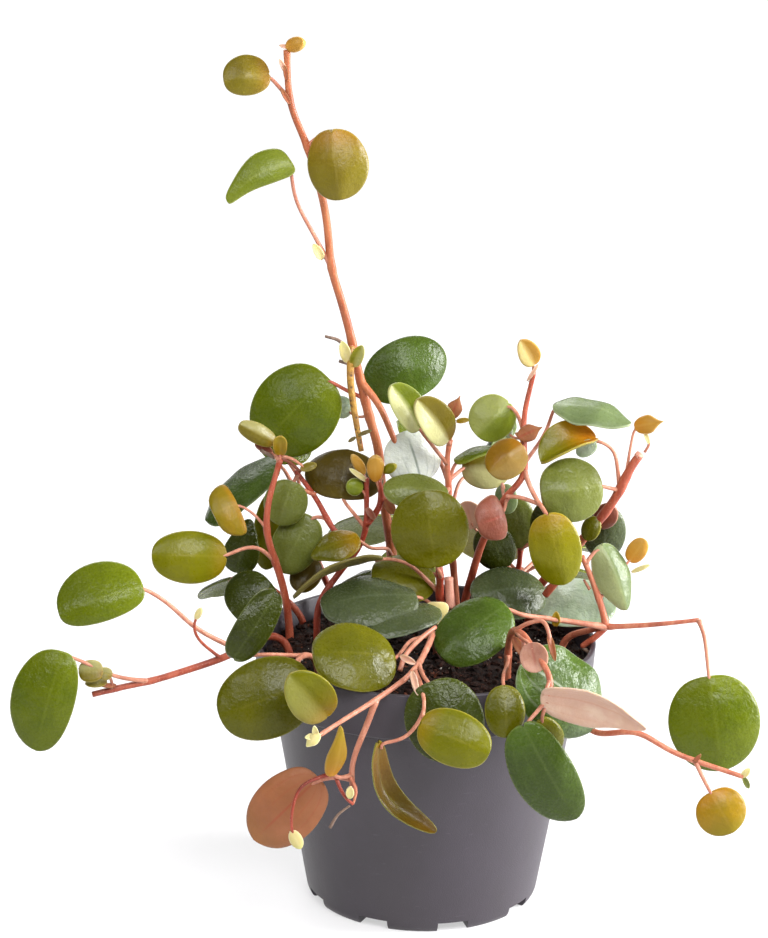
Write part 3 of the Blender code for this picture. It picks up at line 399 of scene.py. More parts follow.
# The front right shoot: a pale underside, a big dark hanging leaf and a glossy one behind.
SHOOTS["stem_front_right"] = shoot(
    "leaf_green", "coral",
    (28, -24),
    [(28, -31, 104), (29, -40, 111), (32, -48, 112), (35, -55, 109), (39, -61, 105), (41, -66, 101),
     (39, -67, 95)],
    1.3,
    [leaf("blush", [(41, -65, 102)], (38, -69, 99), (71, -76, 90), 19, (-0.2, 0.8, 0.55),
          wide=0.38, skew=-0.2, point=0.5),
     leaf("deep", [(39, -66, 96), (36, -67, 92)], (31.5, -71, 88), (50, -66, 54), 20.5, (-0.1, -0.97, 0.2),
          skew=0.2, full=0.8),
     leaf("glossy", [(32, -48, 111)], (32, -52, 103.5), (58, -52, 83), 29, (0.1, -0.75, 0.65),
          wave=0.05, waves=2, crease=0.5),
     leaf("olive", [(39, -66, 96), (38, -66, 91)], (37, -65, 88), (44, -62, 77), 9),
     leaf("pink", [(29, -40, 111), (31, -52, 112)], (34, -57, 112), (36, -60, 103), 9.5, BACK),
     leaf("olive", [(28, -27, 97), (27, -42, 99), (25, -56, 100)], (25, -63, 99), (26, -68, 83), 13.5,
          (0.1, -0.95, 0.3))],
    extras=[scale("copper", (40, -52, 113), (42, -57, 106), 2.4, fold=20),
            scale("copper", (29, -40, 108), (33, -44, 102), 3.2)],
    bars=[twig("salmon", [(29, -42, 111), (33, -46, 115), (38, -49, 117), (40, -52, 114), (41, -56, 108)],
               0.75, 0.65),
          twig("crimson", [(31, -40, 108), (33, -42, 100)], 0.9, 0.7)],
    end_radius=0.9,
)

# The front shoot: it forks over the rim, with round leaves and a loose young tip.
SHOOTS["stem_front"] = shoot(
    "leaf_green", "salmon",
    (4, -4),
    [(3, -12, 99), (2, -24, 103), (1, -35, 104), (-2, -44, 101), (-4, -51, 100), (-9, -58, 98),
     (-17, -66, 95), (-27, -76, 92), (-35, -83, 89)],
    1.2,
    [leaf("cream", [(-34, -82, 90)], (-35, -84, 90), (-39, -85, 86), 3.8, point=0.4),
     leaf("olive", [(1, -16, 99), (-5, -24, 101), (-8, -34, 101)], (-11, -45, 101.5), (-38, -53, 106), 26,
          (-0.05, -0.68, 0.73), full=0.85, cup=-0.2),
     leaf("ochre", [(-25, -71, 70), (-29, -75, 71)], (-31, -77, 73), (-28, -80, 91), 7.4, (0.5, -0.85, 0.0),
          wide=0.38, point=0.5, blush=0.3),
     leaf("copper", [(-25, -71, 69), (-30, -69, 69)], (-37, -66, 66), (-57, -62, 43.5), 22.5,
          full=0.82, lobe=0.07, crease=0.3),
     leaf("cream", [(-32, -74, 72), (-41, -77, 69), (-44, -78, 60)], (-44, -77, 53), (-41, -77, 47), 4.4,
          stalk_look="crimson", stalk_radius=0.8),
     leaf("crescent", [(-4, -51, 99), (-2, -60, 98), (-1, -67, 92), (-7, -71, 84)], (-16, -72, 82),
          (3, -72, 51), 9, (0.55, -0.75, 0.35), cup=0.5, arch=-0.24, sweep=0.08, blush=0.2, under="green"),
     leaf("yellow", [(-4, -51, 99), (-2, -62, 98), (-1, -70, 95)], (-2, -77, 91), (20, -82, 83), 18,
          full=0.82),
     leaf("dark", [(-3, -46, 100), (-1, -58, 100)], (1, -64, 100), (11, -68, 75), 26, full=0.85)],
    branches=[([(-17, -66, 94), (-20, -68, 86), (-24, -70, 77), (-25, -70, 70), (-24, -70, 64)], 1.1)],
    end_radius=0.7,
    extras=[scale("cream", (-36, -83, 89), (-36.5, -85, 93), 2.2),
            scale("cream", (-36, -83, 89), (-39.5, -85, 89), 2.2),
            scale("blush", (-5, -56, 101), (-3, -65, 96), 2.4, thick=1.6),
            scale("cream", (-25, -76, 68.5), (-25, -76, 64.5), 2.8, thick=1.8),
            scale("blush", (-4, -50, 102), (-9, -48, 104), 2.6, fold=25)],
    bars=[twig("salmon", [(3, -30, 108), (-2, -36, 106), (-7, -41, 102), (-9, -46, 98)], 0.75, 0.9),
          twig("crimson", [(-30, -73, 71.5), (-28, -75, 67), (-26, -75.5, 64), (-24, -75, 62)], 0.75, 0.5),
          twig("coral", [(-25, -71, 70), (-23, -73, 66), (-24, -75, 62)], 0.7, 0.4),
          twig("dry", [(-25, -75, 61.5), (-29, -76, 58.5), (-31.5, -76, 54)], 0.35, 0.55)],
)

# The front left shoot, with the biggest leaf low over the rim.
SHOOTS["stem_front_left"] = shoot(
    "leaf_olive", "salmon",
    (-37, -20),
    [(-40, -28, 97), (-43, -36, 99), (-44, -42, 98)],
    1.3,
    [leaf("olive", [(-43, -40, 98)], (-39, -46, 94), (-69, -52, 83), 27, full=0.85, cup=-0.24, tint=0.7),
     leaf("yellow", [(-43, -40, 98), (-37, -52, 92)], (-33, -60, 87), (-45, -64, 103), 16,
          cup=0.0, fold=11, blush=0.15, pale=-0.15),
     leaf("dark", [(-42, -32, 98), (-55, -37, 100)], (-65, -40, 100), (-51, -32, 121), 13.5,
          (0.3, -0.9, 0.3), wave=0.05, fold=10, full=0.8)],
)

# The far left shoot, stretched out level past the rim.
SHOOTS["stem_far_left"] = shoot(
    "leaf_green", "brick",
    (-47, -4),
    [(-52, -8, 97), (-57, -14, 98), (-63, -20, 96), (-70, -25, 94), (-82, -29, 91), (-94, -32, 88),
     (-102, -34, 87), (-113, -37, 85)],
    1.4,
    [leaf("green", [(-64, -22, 97), (-71, -26, 101), (-79, -29, 107), (-88, -33, 117)], (-96, -36, 123),
          (-123, -42, 115), 21, (-0.2, -0.85, 0.5), skew=0.3, full=0.8, cup=-0.25, stalk_radius=0.9),
     leaf("green", [(-94, -32, 89), (-105, -38, 92), (-115, -41, 98)], (-122, -42, 101), (-131, -46, 68),
          22, (-0.1, -0.95, 0.3), skew=0.24, full=0.85, cup=-0.25),
     leaf("tan", [(-106, -35, 87), (-106, -38, 91)], (-109, -40, 95), (-117, -40, 94), 7.6,
          full=0.7, cup=0.3, pale=0.5),
     leaf("cream", [(-71, -26, 98), (-77, -32, 103), (-79, -33, 108)], (-78, -33, 111), (-76, -33, 115),
          2.4, stalk_look="brick", stalk_radius=0.8)],
    end_radius=1.0,
    extras=[scale("tan", (-106, -39, 93), (-111, -40, 94), 4.4, pale=0.4),
            scale("tan", (-108, -38, 90), (-115, -40, 90), 3.4, pale=0.4),
            scale("copper", (-105, -36, 88), (-110, -38, 88.6), 1.8)],
)

# The low left shoot: two dark leaves over the rim, and one behind.
SHOOTS["stem_left_low"] = shoot(
    "leaf_dark", "brick",
    (-43, 25),
    [(-48, 24, 98), (-55, 24, 103), (-62, 24, 109)],
    1.3,
    [leaf("dark", [(-62, 24, 109)], (-67, 19, 111), (-62.5, 21, 130), 13, wide=0.34, point=0.3),
     leaf("dark", [(-56, 24, 104), (-56, 16, 108)], (-55, 10, 110), (-68, 5, 100), 20,
          full=0.8, cup=-0.3),
     leaf("dark", [(-61, 24, 108), (-66, 30, 106)], (-70, 36, 103), (-78, 48, 92), 19, (-0.3, 0.5, 0.8))],
    end_radius=1.0,
)

# The back left shoot, which holds the long leaf seen edge-on.
SHOOTS["stem_back_left"] = shoot(
    "leaf_green", "crimson",
    (-30, 38),
    [(-36, 38, 102), (-41, 36, 116), (-45, 34, 130), (-48, 32, 141)],
    1.4,
    [leaf("deep", [(-48, 32, 140), (-51, 29, 147)], (-54, 29.5, 149.5), (-78, 22.5, 128.5), 25,
          (-0.53, -0.3, 0.79), full=0.85),
     leaf("yellow", [(-48, 32, 140), (-52, 30, 139)], (-54, 30, 137), (-57, 25, 110), 12),
     leaf("brown", [(-38, 37, 106), (-38, 28, 113)], (-39, 24, 114), (-46, 17, 105), 11),
     leaf("green", [(-45, 34, 130), (-46, 42, 140)], (-50, 46, 144), (-52, 62, 155), 20, UP_BACK),
     leaf("dark", [(-39, 37, 110), (-48, 46, 116)], (-52, 52, 117), (-68, 66, 110), 22, (-0.3, 0.6, 0.75))],
)

# The back right shoot: dark glossy leaves that close the view behind the right-hand stems.
SHOOTS["stem_back_right"] = shoot(
    "leaf_dark", "crimson",
    (31, 36),
    [(32, 34, 100), (34, 29, 111), (34, 25, 119)],
    1.4,
    [leaf("sage", [(34, 25, 118)], (34, 24, 120), (31, 20, 140), 13),
     leaf("slate", [(32, 33, 101), (36, 24, 105), (41, 16, 106)], (42, 12, 107), (16, 2, 109), 21,
          (0.1, -0.7, 0.7)),
     leaf("grey", [(32, 33, 101), (37, 26, 104)], (40, 18, 101.5), (68, 13, 101), 26, (0.1, -0.42, 0.9),
          cup=-0.12),
     leaf("dark", [(33, 31, 106), (31, 25, 111)], (29, 20, 114), (20, 17, 129), 15),
     leaf("dark", [(34, 25, 119), (38, 22, 122)], (40, 21, 125), (41, 17, 138), 7),
     leaf("blush", [(33, 30, 108), (24, 28, 120)], (17, 26, 126), (14, 26, 136), 10, (0.0, 0.95, 0.2)),
     leaf("green", [(33, 32, 106), (44, 44, 112)], (46, 50, 113), (58, 66, 106), 24, (0.2, 0.6, 0.75))],
    bars=[twig("brick", [(42, 5, 108), (46, 4, 114)], 1.3, 1.5)],
)

# Two shoots at the back, where the leaves lean out over the rim as they do in front.
SHOOTS["stem_back"] = shoot(
    "leaf_green", "brick",
    (6, 44),
    [(6, 50, 100), (5, 56, 107), (3, 63, 111), (0, 72, 110), (-4, 82, 104)],
    1.5,
    [leaf("green", [(3, 63, 111), (-6, 66, 116)], (-10, 67, 117), (-34, 76, 106), 27, (-0.2, 0.7, 0.7)),
     leaf("olive", [(4, 60, 109), (12, 66, 115)], (16, 68, 115), (34, 78, 98), 26, (0.2, 0.8, 0.55)),
     leaf("green", [(-4, 82, 104)], (-4, 84, 101), (-10, 90, 74), 24, BACK),
     leaf("dark", [(6, 50, 101), (-2, 52, 102)], (-8, 54, 101), (-30, 62, 92), 22, (-0.1, 0.45, 0.9))],
)
SHOOTS["stem_back_trailing"] = shoot(
    "leaf_green", "coral",
    (28, 44),
    [(31, 50, 99), (34, 56, 101), (38, 64, 98), (42, 71, 88), (44, 74, 76)],
    1.4,
    [leaf("green", [(38, 63, 98), (44, 63, 101)], (48, 63, 100), (66, 72, 90), 23, (0.3, 0.6, 0.75)),
     leaf("olive", [(44, 74, 77)], (44, 75, 74), (40, 78, 50), 21, (0.2, 0.95, 0.2)),
     leaf("yellow", [(42, 72, 86), (48, 74, 84)], (51, 75, 82), (60, 79, 71), 13, (0.3, 0.85, 0.4))],
)


def smooth_route(points, step):
    """Points about one step apart on a smooth curve through a route's own points."""
    knots = [Vector(point) for point in points]
    knots = [knots[0] * 2 - knots[1]] + knots + [knots[-1] * 2 - knots[-2]]
    route = []
    for index in range(1, len(knots) - 2):
        before, start, end, after = knots[index - 1:index + 3]
        parts = max(1, round((end - start).length / step))
        for part in range(parts):
            t = part / parts
            route.append(0.5 * (2 * start + (end - before) * t
                                + (2 * before - 5 * start + 4 * end - after) * t ** 2
                                + (3 * start - before - 3 * end + after) * t ** 3))
    route.append(knots[-2])
    return route


def eased(route, passes):
    """The route with its small kinks smoothed out; its ends stay."""
    for _ in range(passes):
        triples = zip(route, route[1:], route[2:])
        inner = [(before + here * 2 + after) / 4 for before, here, after in triples]
        route = [route[0], *inner, route[-1]]
    return route


def step_between(low, high, value):
    """0 under low, 1 over high, and a smooth rise between them."""
    share = min(1.0, max(0.0, (value - low) / (high - low)))
    return share * share * (3.0 - 2.0 * share)


# The values each point carries; pale marks the half of a blade that gets a painted highlight.
POINT_VALUES = ("across", "along", "edge", "mid", "tint", "blush", "pale")
PLAIN_POINT = (0.0, 0.0, 1.0, 1.0, 0.5, 0.0, 0.0)


class Skin:
    """Gathers rings of points into one mesh; each point carries where it lies on its leaf or stem."""

    def __init__(self):
        self.points = []
        self.faces = []
        self.looks = []
        self.face_looks = []
        self.values = []

    def look_index(self, look):
        if look not in self.looks:
            self.looks.append(look)
        return self.looks.index(look)

    def point(self, place, values=PLAIN_POINT):
        self.points.append(tuple(place * MM))
        self.values.append(values)
        return len(self.points) - 1

    def face(self, corners, look):
        self.faces.append(tuple(corners))
        self.face_looks.append(self.look_index(look))

    def rings(self, rings, look_of):
        """Skins neighbouring rings of point numbers, and closes both ends."""
        count = len(rings[0])
        for before, after in zip(rings, rings[1:]):
            for index in range(count):
                following = (index + 1) % count
                corners = (before[index], before[following], after[following], after[index])
                self.face(corners, look_of(index))
        self.face(reversed(rings[0]), look_of(0))
        self.face(rings[-1], look_of(0))

    def finished(self, name):
        """The mesh object, smooth-shaded, with its point attributes and its materials."""
        mesh = bpy.data.meshes.new(name)
        mesh.from_pydata(self.points, [], self.faces)
        for attribute_name, values in zip(POINT_VALUES, zip(*self.values)):
            attribute = mesh.attributes.new(attribute_name, "FLOAT", "POINT")
            attribute.data.foreach_set("value", values)
        for look in self.looks:
            mesh.materials.append(material_for(look))
        mesh.polygons.foreach_set("material_index", self.face_looks)
        mesh.shade_smooth()
        mesh.update()
        made = bpy.data.objects.new(name, mesh)
        bpy.context.scene.collection.objects.link(made)
        return made


def carried_frames(route, face):
    """The side and upper directions at each point of a route, turned no more than its bends turn them."""
    frames = []
    heading = (route[1] - route[0]).normalized()
    upper = face - heading * face.dot(heading)
    if upper.length < 0.1:
        upper = heading.orthogonal()
    upper.normalize()
    for index, point in enumerate(route):
        ahead = route[min(index + 1, len(route) - 1)]
        behind = route[max(index - 1, 0)]
        now = (ahead - behind).normalized()
        upper = heading.rotation_difference(now) @ upper
        heading = now
        frames.append((heading.cross(upper).normalized(), upper.copy()))
    return frames


def bar(skin, route, radii, sides, look, ribs=0.0):
    """A round bar along a route, with a radius for each of its points."""
    frames = carried_frames(route, Vector((0.3, -0.8, 0.5)))
    rings = []
    for index, (centre, radius) in enumerate(zip(route, radii)):
        side, upper = frames[index]
        along = index / (len(route) - 1)
        ring = []
        for corner in range(sides):
            turn = 2 * math.pi * corner / sides
            reach = radius * (1.0 + ribs * math.sin(3 * turn))
            place = centre + (side * -math.cos(turn) + upper * math.sin(turn)) * reach
            ring.append(skin.point(place, (corner / sides, along, radius, 1.0, 0.5, 0.0, 0.0)))
        rings.append(ring)
    skin.rings(rings, lambda index: look)


def blade_axes(spec):
    """A blade's three directions: along its midrib, to its right side, and out of its upper face."""
    along = (Vector(spec["tip"]) - Vector(spec["base"])).normalized()
    face = Vector(spec["face"])
    face = (face - along * face.dot(along)).normalized()
    return along, along.cross(face), face


def blade_centre(spec, place):
    """The middle of a blade at a share of its length, arched and swept to the side."""
    base, tip = Vector(spec["base"]), Vector(spec["tip"])
    along, side, face = blade_axes(spec)
    length = (tip - base).length
    bulge = length * math.sin(math.pi * place)
    return base + along * (length * place) + face * (spec["arch"] * bulge) + side * (spec["sweep"] * bulge)


def blade_ring(skin, spec, row, rows, columns, small):
    """One ring of points round a blade: its upper side from left to right, then its lower side back."""
    along, side, face = blade_axes(spec)
    length = (Vector(spec["tip"]) - Vector(spec["base"])).length
    tint = spec["tint"]
    if tint is None:
        tint = 0.5 + 0.9 * noise.noise(Vector(spec["base"]) * 0.37)
    half_thickness = spec["thick"] / 2 * (0.55 + 0.45 * small)
    angle = math.pi * row / rows
    share = (1 - math.cos(angle)) / 2
    place = share + (spec["wide"] - 0.5) * math.sin(math.pi * share)
    reach = spec["width"] / 2 * max(0.0, math.sin(angle)) ** spec["full"]
    reach *= 1.0 - spec["point"] * step_between(0.55, 1.0, share)
    reach = max(reach, 0.25 if row else 0.7)
    centre = blade_centre(spec, place)
    fold = math.radians(spec["fold"]) * step_between(-0.3, 0.3, share)
    lobed = spec["lobe"] * length * (1.0 - step_between(0.0, 0.35, share))
    blush = spec["blush"] * math.exp(-(place / BLUSH_REACH) ** 2)
    upper_side, lower_side = [], []
    for column in range(columns + 1):
        t = math.sin(math.pi / 2 * (2 * column / columns - 1))
        run = t * reach * (1.0 + (spec["skew"] if t > 0 else -spec["skew"]))
        ripple = math.sin(2 * math.pi * (spec["waves"] * place + 0.15 * t))
        lift = abs(run) * math.sin(fold) + spec["cup"] * reach * abs(t) ** BLADE_BOWL
        lift += spec["wave"] * length * t * t * ripple
        middle = centre + side * (run * math.cos(fold)) + face * lift - along * (lobed * t * t)
        middle = middle + face * (UNEVENNESS * small * noise.noise(middle * BUMPS_PER_MM))
        depth = half_thickness * math.sqrt(max(0.0, 1.0 - abs(t) ** EDGE_SQUARENESS))
        crease = spec["crease"] * math.exp(-(run / CREASE_WIDTH) ** 2)
        crease *= math.sin(math.pi * min(1, place + 0.2))
        rim = (1.0 - abs(t)) * reach
        # Painted highlight: one half of the blade, right or left by the sign of pale, is marked to be
        # lightened, as where that half faces the light.
        lit_side = math.copysign(t, t * spec["pale"])
        pale = abs(spec["pale"]) * step_between(-HALF_BLEND, HALF_BLEND, lit_side)
        values = (t, place, rim, abs(run), tint, blush, pale)
        upper_side.append(skin.point(middle + face * (depth - crease), values))
        if 0 < column < columns:
            lower_side.append(skin.point(middle - face * (depth + crease * 0.6), values))
    return upper_side + lower_side[::-1]


def blade(skin, spec):
    """A thick leaf blade: round in outline, cupped and arched, with a crease along its midrib."""
    length = (Vector(spec["tip"]) - Vector(spec["base"])).length
    small = min(1.0, length / SMALL_BLADE)
    rows = max(LEAST_ROWS, round(BLADE_ROWS * small))
    columns = max(LEAST_COLUMNS, 2 * round(BLADE_COLUMNS * small / 2))
    rings = [blade_ring(skin, spec, row, rows, columns, small) for row in range(rows + 1)]
    upper_look = spec["look"]
    lower_look = (spec["under"] or upper_look) + "_under"
    skin.rings(rings, lambda index: upper_look if index < columns else lower_look)


def stalk(skin, spec, look):
    """A leaf's stalk: wider where it leaves the stem, and thinner where it runs into the blade's base."""
    base, tip = Vector(spec["base"]), Vector(spec["tip"])
    length = (tip - base).length
    inside = base + (tip - base).normalized() * min(2.0, 0.2 * length)
    radius = spec["stalk_radius"] * (1.0 if length > 12 else 0.75)
    route = eased(smooth_route([*spec["stalk"], base, inside], ROUTE_STEP), STALK_EASE)
    radii = []
    for index in range(len(route)):
        share = index / (len(route) - 1)
        radii.append(radius * (1.05 - 0.3 * share + 0.35 * math.exp(-(share / 0.08) ** 2)))
    bar(skin, route, radii, STALK_SIDES, look)


def stem(skin, points, radius, end_radius, joints, look):
    """A stem: slightly swollen at each joint, where a leaf or a branch leaves it. Gives back its route."""
    route = eased(smooth_route(points, ROUTE_STEP), STEM_EASE)
    radii = []
    for index, place in enumerate(route):
        share = index / (len(route) - 1)
        nearness = [math.exp(-((place - joint).length / JOINT_REACH) ** 2) for joint in joints]
        swelling = min(MOST_SWELLING, JOINT_SWELLING * sum(nearness))
        radii.append((radius + (end_radius - radius) * share ** STEM_TAPER) * (1.0 + swelling))
    bar(skin, route, radii, STEM_SIDES, look, STEM_RIBS)
    return route


def thin_bar(skin, spec):
    """A twig, hook, spike or cut end."""
    route = eased(smooth_route(spec["points"], TWIG_STEP), TWIG_EASE)
    last = len(route) - 1
    thinning = spec["end_radius"] - spec["radius"]
    radii = [spec["radius"] + thinning * index / last for index in range(len(route))]
    bar(skin, route, radii, STALK_SIDES, spec["look"])


def on_route(routes, point):
    """The nearest place on the routes, if one is near enough to be meant."""
    point = Vector(point)
    nearest = min((place for route in routes for place in route), key=lambda place: (place - point).length)
    return nearest if (nearest - point).length < SNAP_REACH else point


def shoot_piece(name, spec):
    """One leafy stem as one piece, which stands for its solid."""
    skin = Skin()
    x, y = spec["foot"]
    joints = [Vector(entry["stalk"][0]) for entry in spec["leaves"]]
    joints += [Vector(points[0]) for points, radius in spec["branches"]]
    way = [(x, y, SOIL_Z - ROOT_DEPTH), (x, y, SOIL_Z - 2), (x, y, SOIL_Z + 3), *spec["stem"]]
    routes = [stem(skin, way, spec["radius"], spec["end_radius"], joints, spec["bark"])]
    for points, radius in spec["branches"]:
        start = on_route(routes, points[0])
        routes.append(stem(skin, [start, *points[1:]], radius, radius * 0.7, joints, spec["bark"]))
    for entry in spec["leaves"]:
        entry["stalk"][0] = on_route(routes, entry["stalk"][0])
        stalk(skin, entry, entry["stalk_look"])
        blade(skin, entry)
    for entry in spec["extras"]:
        blade(skin, entry)
    for entry in spec["bars"]:
        thin_bar(skin, entry)
    made = skin.finished(name + "_leaves")
    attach(made, "root")
    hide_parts(name)
    return made


def colour(code):
    """A colour for a shader, from its six-digit screen code."""
    channels = [int(code[index:index + 2], 16) / 255 for index in (0, 2, 4)]
    linear = [value / 12.92 if value <= 0.04045 else ((value + 0.055) / 1.055) ** 2.4 for value in channels]
    return (*linear, 1.0)


class Nodes:
    """A material's node tree, with short calls for the nodes that the materials share."""

    def __init__(self, name):
        self.material = bpy.data.materials.new(name)
        self.material.use_nodes = True
        self.tree = self.material.node_tree
        self.shader = self.tree.nodes["Principled BSDF"]
        self.place = self.tree.nodes.new("ShaderNodeTexCoord").outputs["Object"]

    def put(self, socket, value):
        if isinstance(value, bpy.types.NodeSocket):
            self.tree.links.new(value, socket)
        else:
            socket.default_value = value

    def attribute(self, name):
        node = self.tree.nodes.new("ShaderNodeAttribute")
        node.attribute_name = name
        return node.outputs["Fac"]

    def math(self, operation, first, second=0.0, third=0.0):
        node = self.tree.nodes.new("ShaderNodeMath")
        node.operation = operation
        for socket, value in zip(node.inputs, (first, second, third)):
            self.put(socket, value)
        return node.outputs["Value"]

    def noise(self, scale, detail=2.0, roughness=0.5, stretch=None):
        """A value from 0 to 1 that wanders over the surface; scale is in waves to a metre."""
        node = self.tree.nodes.new("ShaderNodeTexNoise")
        node.inputs["Scale"].default_value = scale
        node.inputs["Detail"].default_value = detail
        node.inputs["Roughness"].default_value = roughness
        place = self.place
        if stretch:
            mapping = self.tree.nodes.new("ShaderNodeMapping")
            mapping.inputs["Scale"].default_value = stretch
            self.put(mapping.inputs["Vector"], place)
            place = mapping.outputs["Vector"]
        self.put(node.inputs["Vector"], place)
        return node.outputs["Fac"]

    def cells(self, scale):
        """The distance to the nearest of many scattered points; scale is in points to a metre."""
        node = self.tree.nodes.new("ShaderNodeTexVoronoi")
        node.inputs["Scale"].default_value = scale
        self.put(node.inputs["Vector"], self.place)
        return node.outputs["Distance"]

    def spread(self, value, low, high, to_low=0.0, to_high=1.0):
        """The value's stretch from low to high, as a smooth rise from to_low to to_high."""
        node = self.tree.nodes.new("ShaderNodeMapRange")
        node.interpolation_type = "SMOOTHSTEP"
        ends = {"From Min": low, "From Max": high, "To Min": to_low, "To Max": to_high}
        for name, number in ends.items():
            node.inputs[name].default_value = number
        self.put(node.inputs["Value"], value)
        return node.outputs["Result"]

    def mix(self, share, first, second):
        node = self.tree.nodes.new("ShaderNodeMix")
        node.data_type = "RGBA"
        self.put(node.inputs[0], share)
        self.put(node.inputs[6], first)
        self.put(node.inputs[7], second)
        return node.outputs[2]

    def bump(self, height, distance, strength=1.0):
        node = self.tree.nodes.new("ShaderNodeBump")
        node.inputs["Distance"].default_value = distance
        node.inputs["Strength"].default_value = strength
        self.put(node.inputs["Height"], height)
        self.put(self.shader.inputs["Normal"], node.outputs["Normal"])

    def set(self, **values):
        """Sets the shader's own sockets; an underscore in a name stands for a space."""
        for name, value in values.items():
            self.put(self.shader.inputs[name.replace("_", " ")], value)


LEAF_SPECULAR = 0.2
MIDRIB_STRENGTH = 0.13
SIDE_VEIN_STRENGTH = 0.06

# Each leaf look: body, second tone, base, tip, rim and underside colours, then gloss and bumpiness.
LEAF_LOOKS = {
    "green": ("505A02", "445002", "5A6406", "4C5602", "7C8434", "747E4A", 0.24, 1.0),
    "deep": ("3A4C12", "303F0E", "425716", "384711", "6C7A42", "6E7E56", 0.22, 1.1),
    "dark": ("2E3608", "262C04", "363E0A", "2C3208", "5E6638", "5E6648", 0.19, 1.5),
    "slate": ("3E462A", "323A20", "464E2E", "3A4228", "76806A", "66704F", 0.21, 1.2),
    "glossy": ("40541A", "4A5A3C", "506428", "768468", "98A48C", "667450", 0.15, 1.4),
    "fresh": ("66701A", "586214", "727C26", "6A741C", "989E56", "8E9656", 0.27, 0.6),
    "olive": ("525000", "464600", "5C5A00", "4C4C00", "827C32", "7C7A42", 0.25, 0.8),
    "yellow": ("666400", "5A5A00", "7C6406", "606000", "988C36", "8E8640", 0.27, 0.6),
    "tan": ("665C12", "5C500A", "785A1C", "645814", "928446", "867842", 0.29, 0.6),
    "ochre": ("82660C", "72600A", "96690E", "74680C", "A4863E", "98823E", 0.30, 0.5),
    "rust": ("7A5406", "684A06", "88580A", "6E5408", "92823E", "806E36", 0.29, 0.5),
    "sage": ("5A6028", "505620", "646A30", "585E28", "888C58", "787E4E", 0.24, 0.8),
    "mist": ("5E6C44", "52603A", "6C7A50", "5C6A44", "A0AA86", "8A966E", 0.26, 0.6),
    # The grey look is a grey-green whose body is lightened further with a painted highlight, the whitish
    # sheen over its middle.
    "grey": ("94A08C", "76866A", "9AA68C", "6E7E5E", "8A9678", "78866A", 0.18, 1.1),
    # The next look is a painted reflection: its whitish colours stand for the bright sky mirrored in an
    # up-facing leaf, with dark veins.
    "silver": ("BEC2BA", "9CA294", "C6C8C0", "ACB2A4", "CCCEC6", "9AA08C", 0.20, 1.2),
    "brown": ("483806", "3C3002", "504206", "3C3002", "70683A", "4E4018", 0.28, 0.8),
    "crescent": ("4C3C04", "3E3204", "4A4606", "5A3E08", "74782E", "4E5C1E", 0.28, 0.6),
    "copper": ("945E3E", "845234", "9A6446", "845A30", "764A30", "986648", 0.36, 0.8),
    "pink": ("74402F", "683627", "80503E", "6C3E2E", "B08672", "845444", 0.34, 0.6),
    "blush": ("C49C86", "B48872", "C8A28A", "BA967C", "CCB49E", "BA9682", 0.38, 0.7),
    "bud": ("A47A2C", "946C24", "AE8438", "98722A", "BA9858", "A6803C", 0.34, 0.4),
    "cream": ("BEB078", "B0A46A", "BEAA70", "B0B270", "D2C8A4", "C0B684", 0.38, 0.4),
}

# Leaves whose veins show more than the others': the veins' colour and how much stronger they are. On the
# glossy look the pale vein colour is a painted highlight, the glint of light along its veins.
STRONG_VEINS = {"silver": ("48584A", 5.0), "copper": ("8E3A28", 3.5), "pink": ("8A4034", 3.0),
                "blush": ("B4826A", 3.5), "glossy": ("B4BCAC", 3.0)}
BLUSH_COLOUR = "B8700E"
# The colour of the highlight painted over one half of a blade.
PAINTED_SHEEN_COLOUR = "AEAC7A"


def leaf_veins(made, along, strength):
    """How much each point belongs to the midrib or to one of two arched veins on each half."""
    across = made.math("ABSOLUTE", made.attribute("across"))
    midrib = made.math("MULTIPLY", made.spread(made.attribute("mid"), 0.1, 0.7, 1.0, 0.0),
                       made.spread(along, 0.55, 0.95, 1.0, 0.0))
    side_veins = 0.0
    for place in (0.38, 0.7):
        away = made.math("ABSOLUTE", made.math("SUBTRACT", across, place))
        side_veins = made.math("ADD", side_veins, made.spread(away, 0.0, 0.05, 1.0, 0.0))
    side_veins = made.math("MULTIPLY", side_veins, made.spread(along, 0.1, 0.8, 1.0, 0.0))
    side_veins = made.math("MULTIPLY", side_veins, SIDE_VEIN_STRENGTH * strength)
    return made.math("MULTIPLY_ADD", midrib, MIDRIB_STRENGTH * strength, side_veins)


def leaf_skin(made, look, under, along):
    """The leaf's colour without its veins: two mottled tones with a painted highlight over one half, or the
    plain pale ones of its underside.
    """
    body, tone, base, tip, rim, back, gloss, grain = LEAF_LOOKS[look]
    shift = made.math("MULTIPLY", made.attribute("tint"), 0.5)
    cloud = made.spread(made.math("ADD", made.noise(110.0, 3.0, 0.55), shift), 0.5, 1.0)
    if under:
        return made.mix(cloud, colour(back), colour(rim))
    skin = made.mix(cloud, colour(body), colour(tone))
    skin = made.mix(made.spread(along, 0.0, 0.3, 0.7, 0.0), skin, colour(base))
    skin = made.mix(made.spread(along, 0.6, 1.0, 0.0, 0.6), skin, colour(tip))
    skin = made.mix(made.attribute("blush"), skin, colour(BLUSH_COLOUR))
    # Painted highlight: the marked half of the blade is lightened, as the sheen where it faces the light.
    return made.mix(made.attribute("pale"), skin, colour(PAINTED_SHEEN_COLOUR))


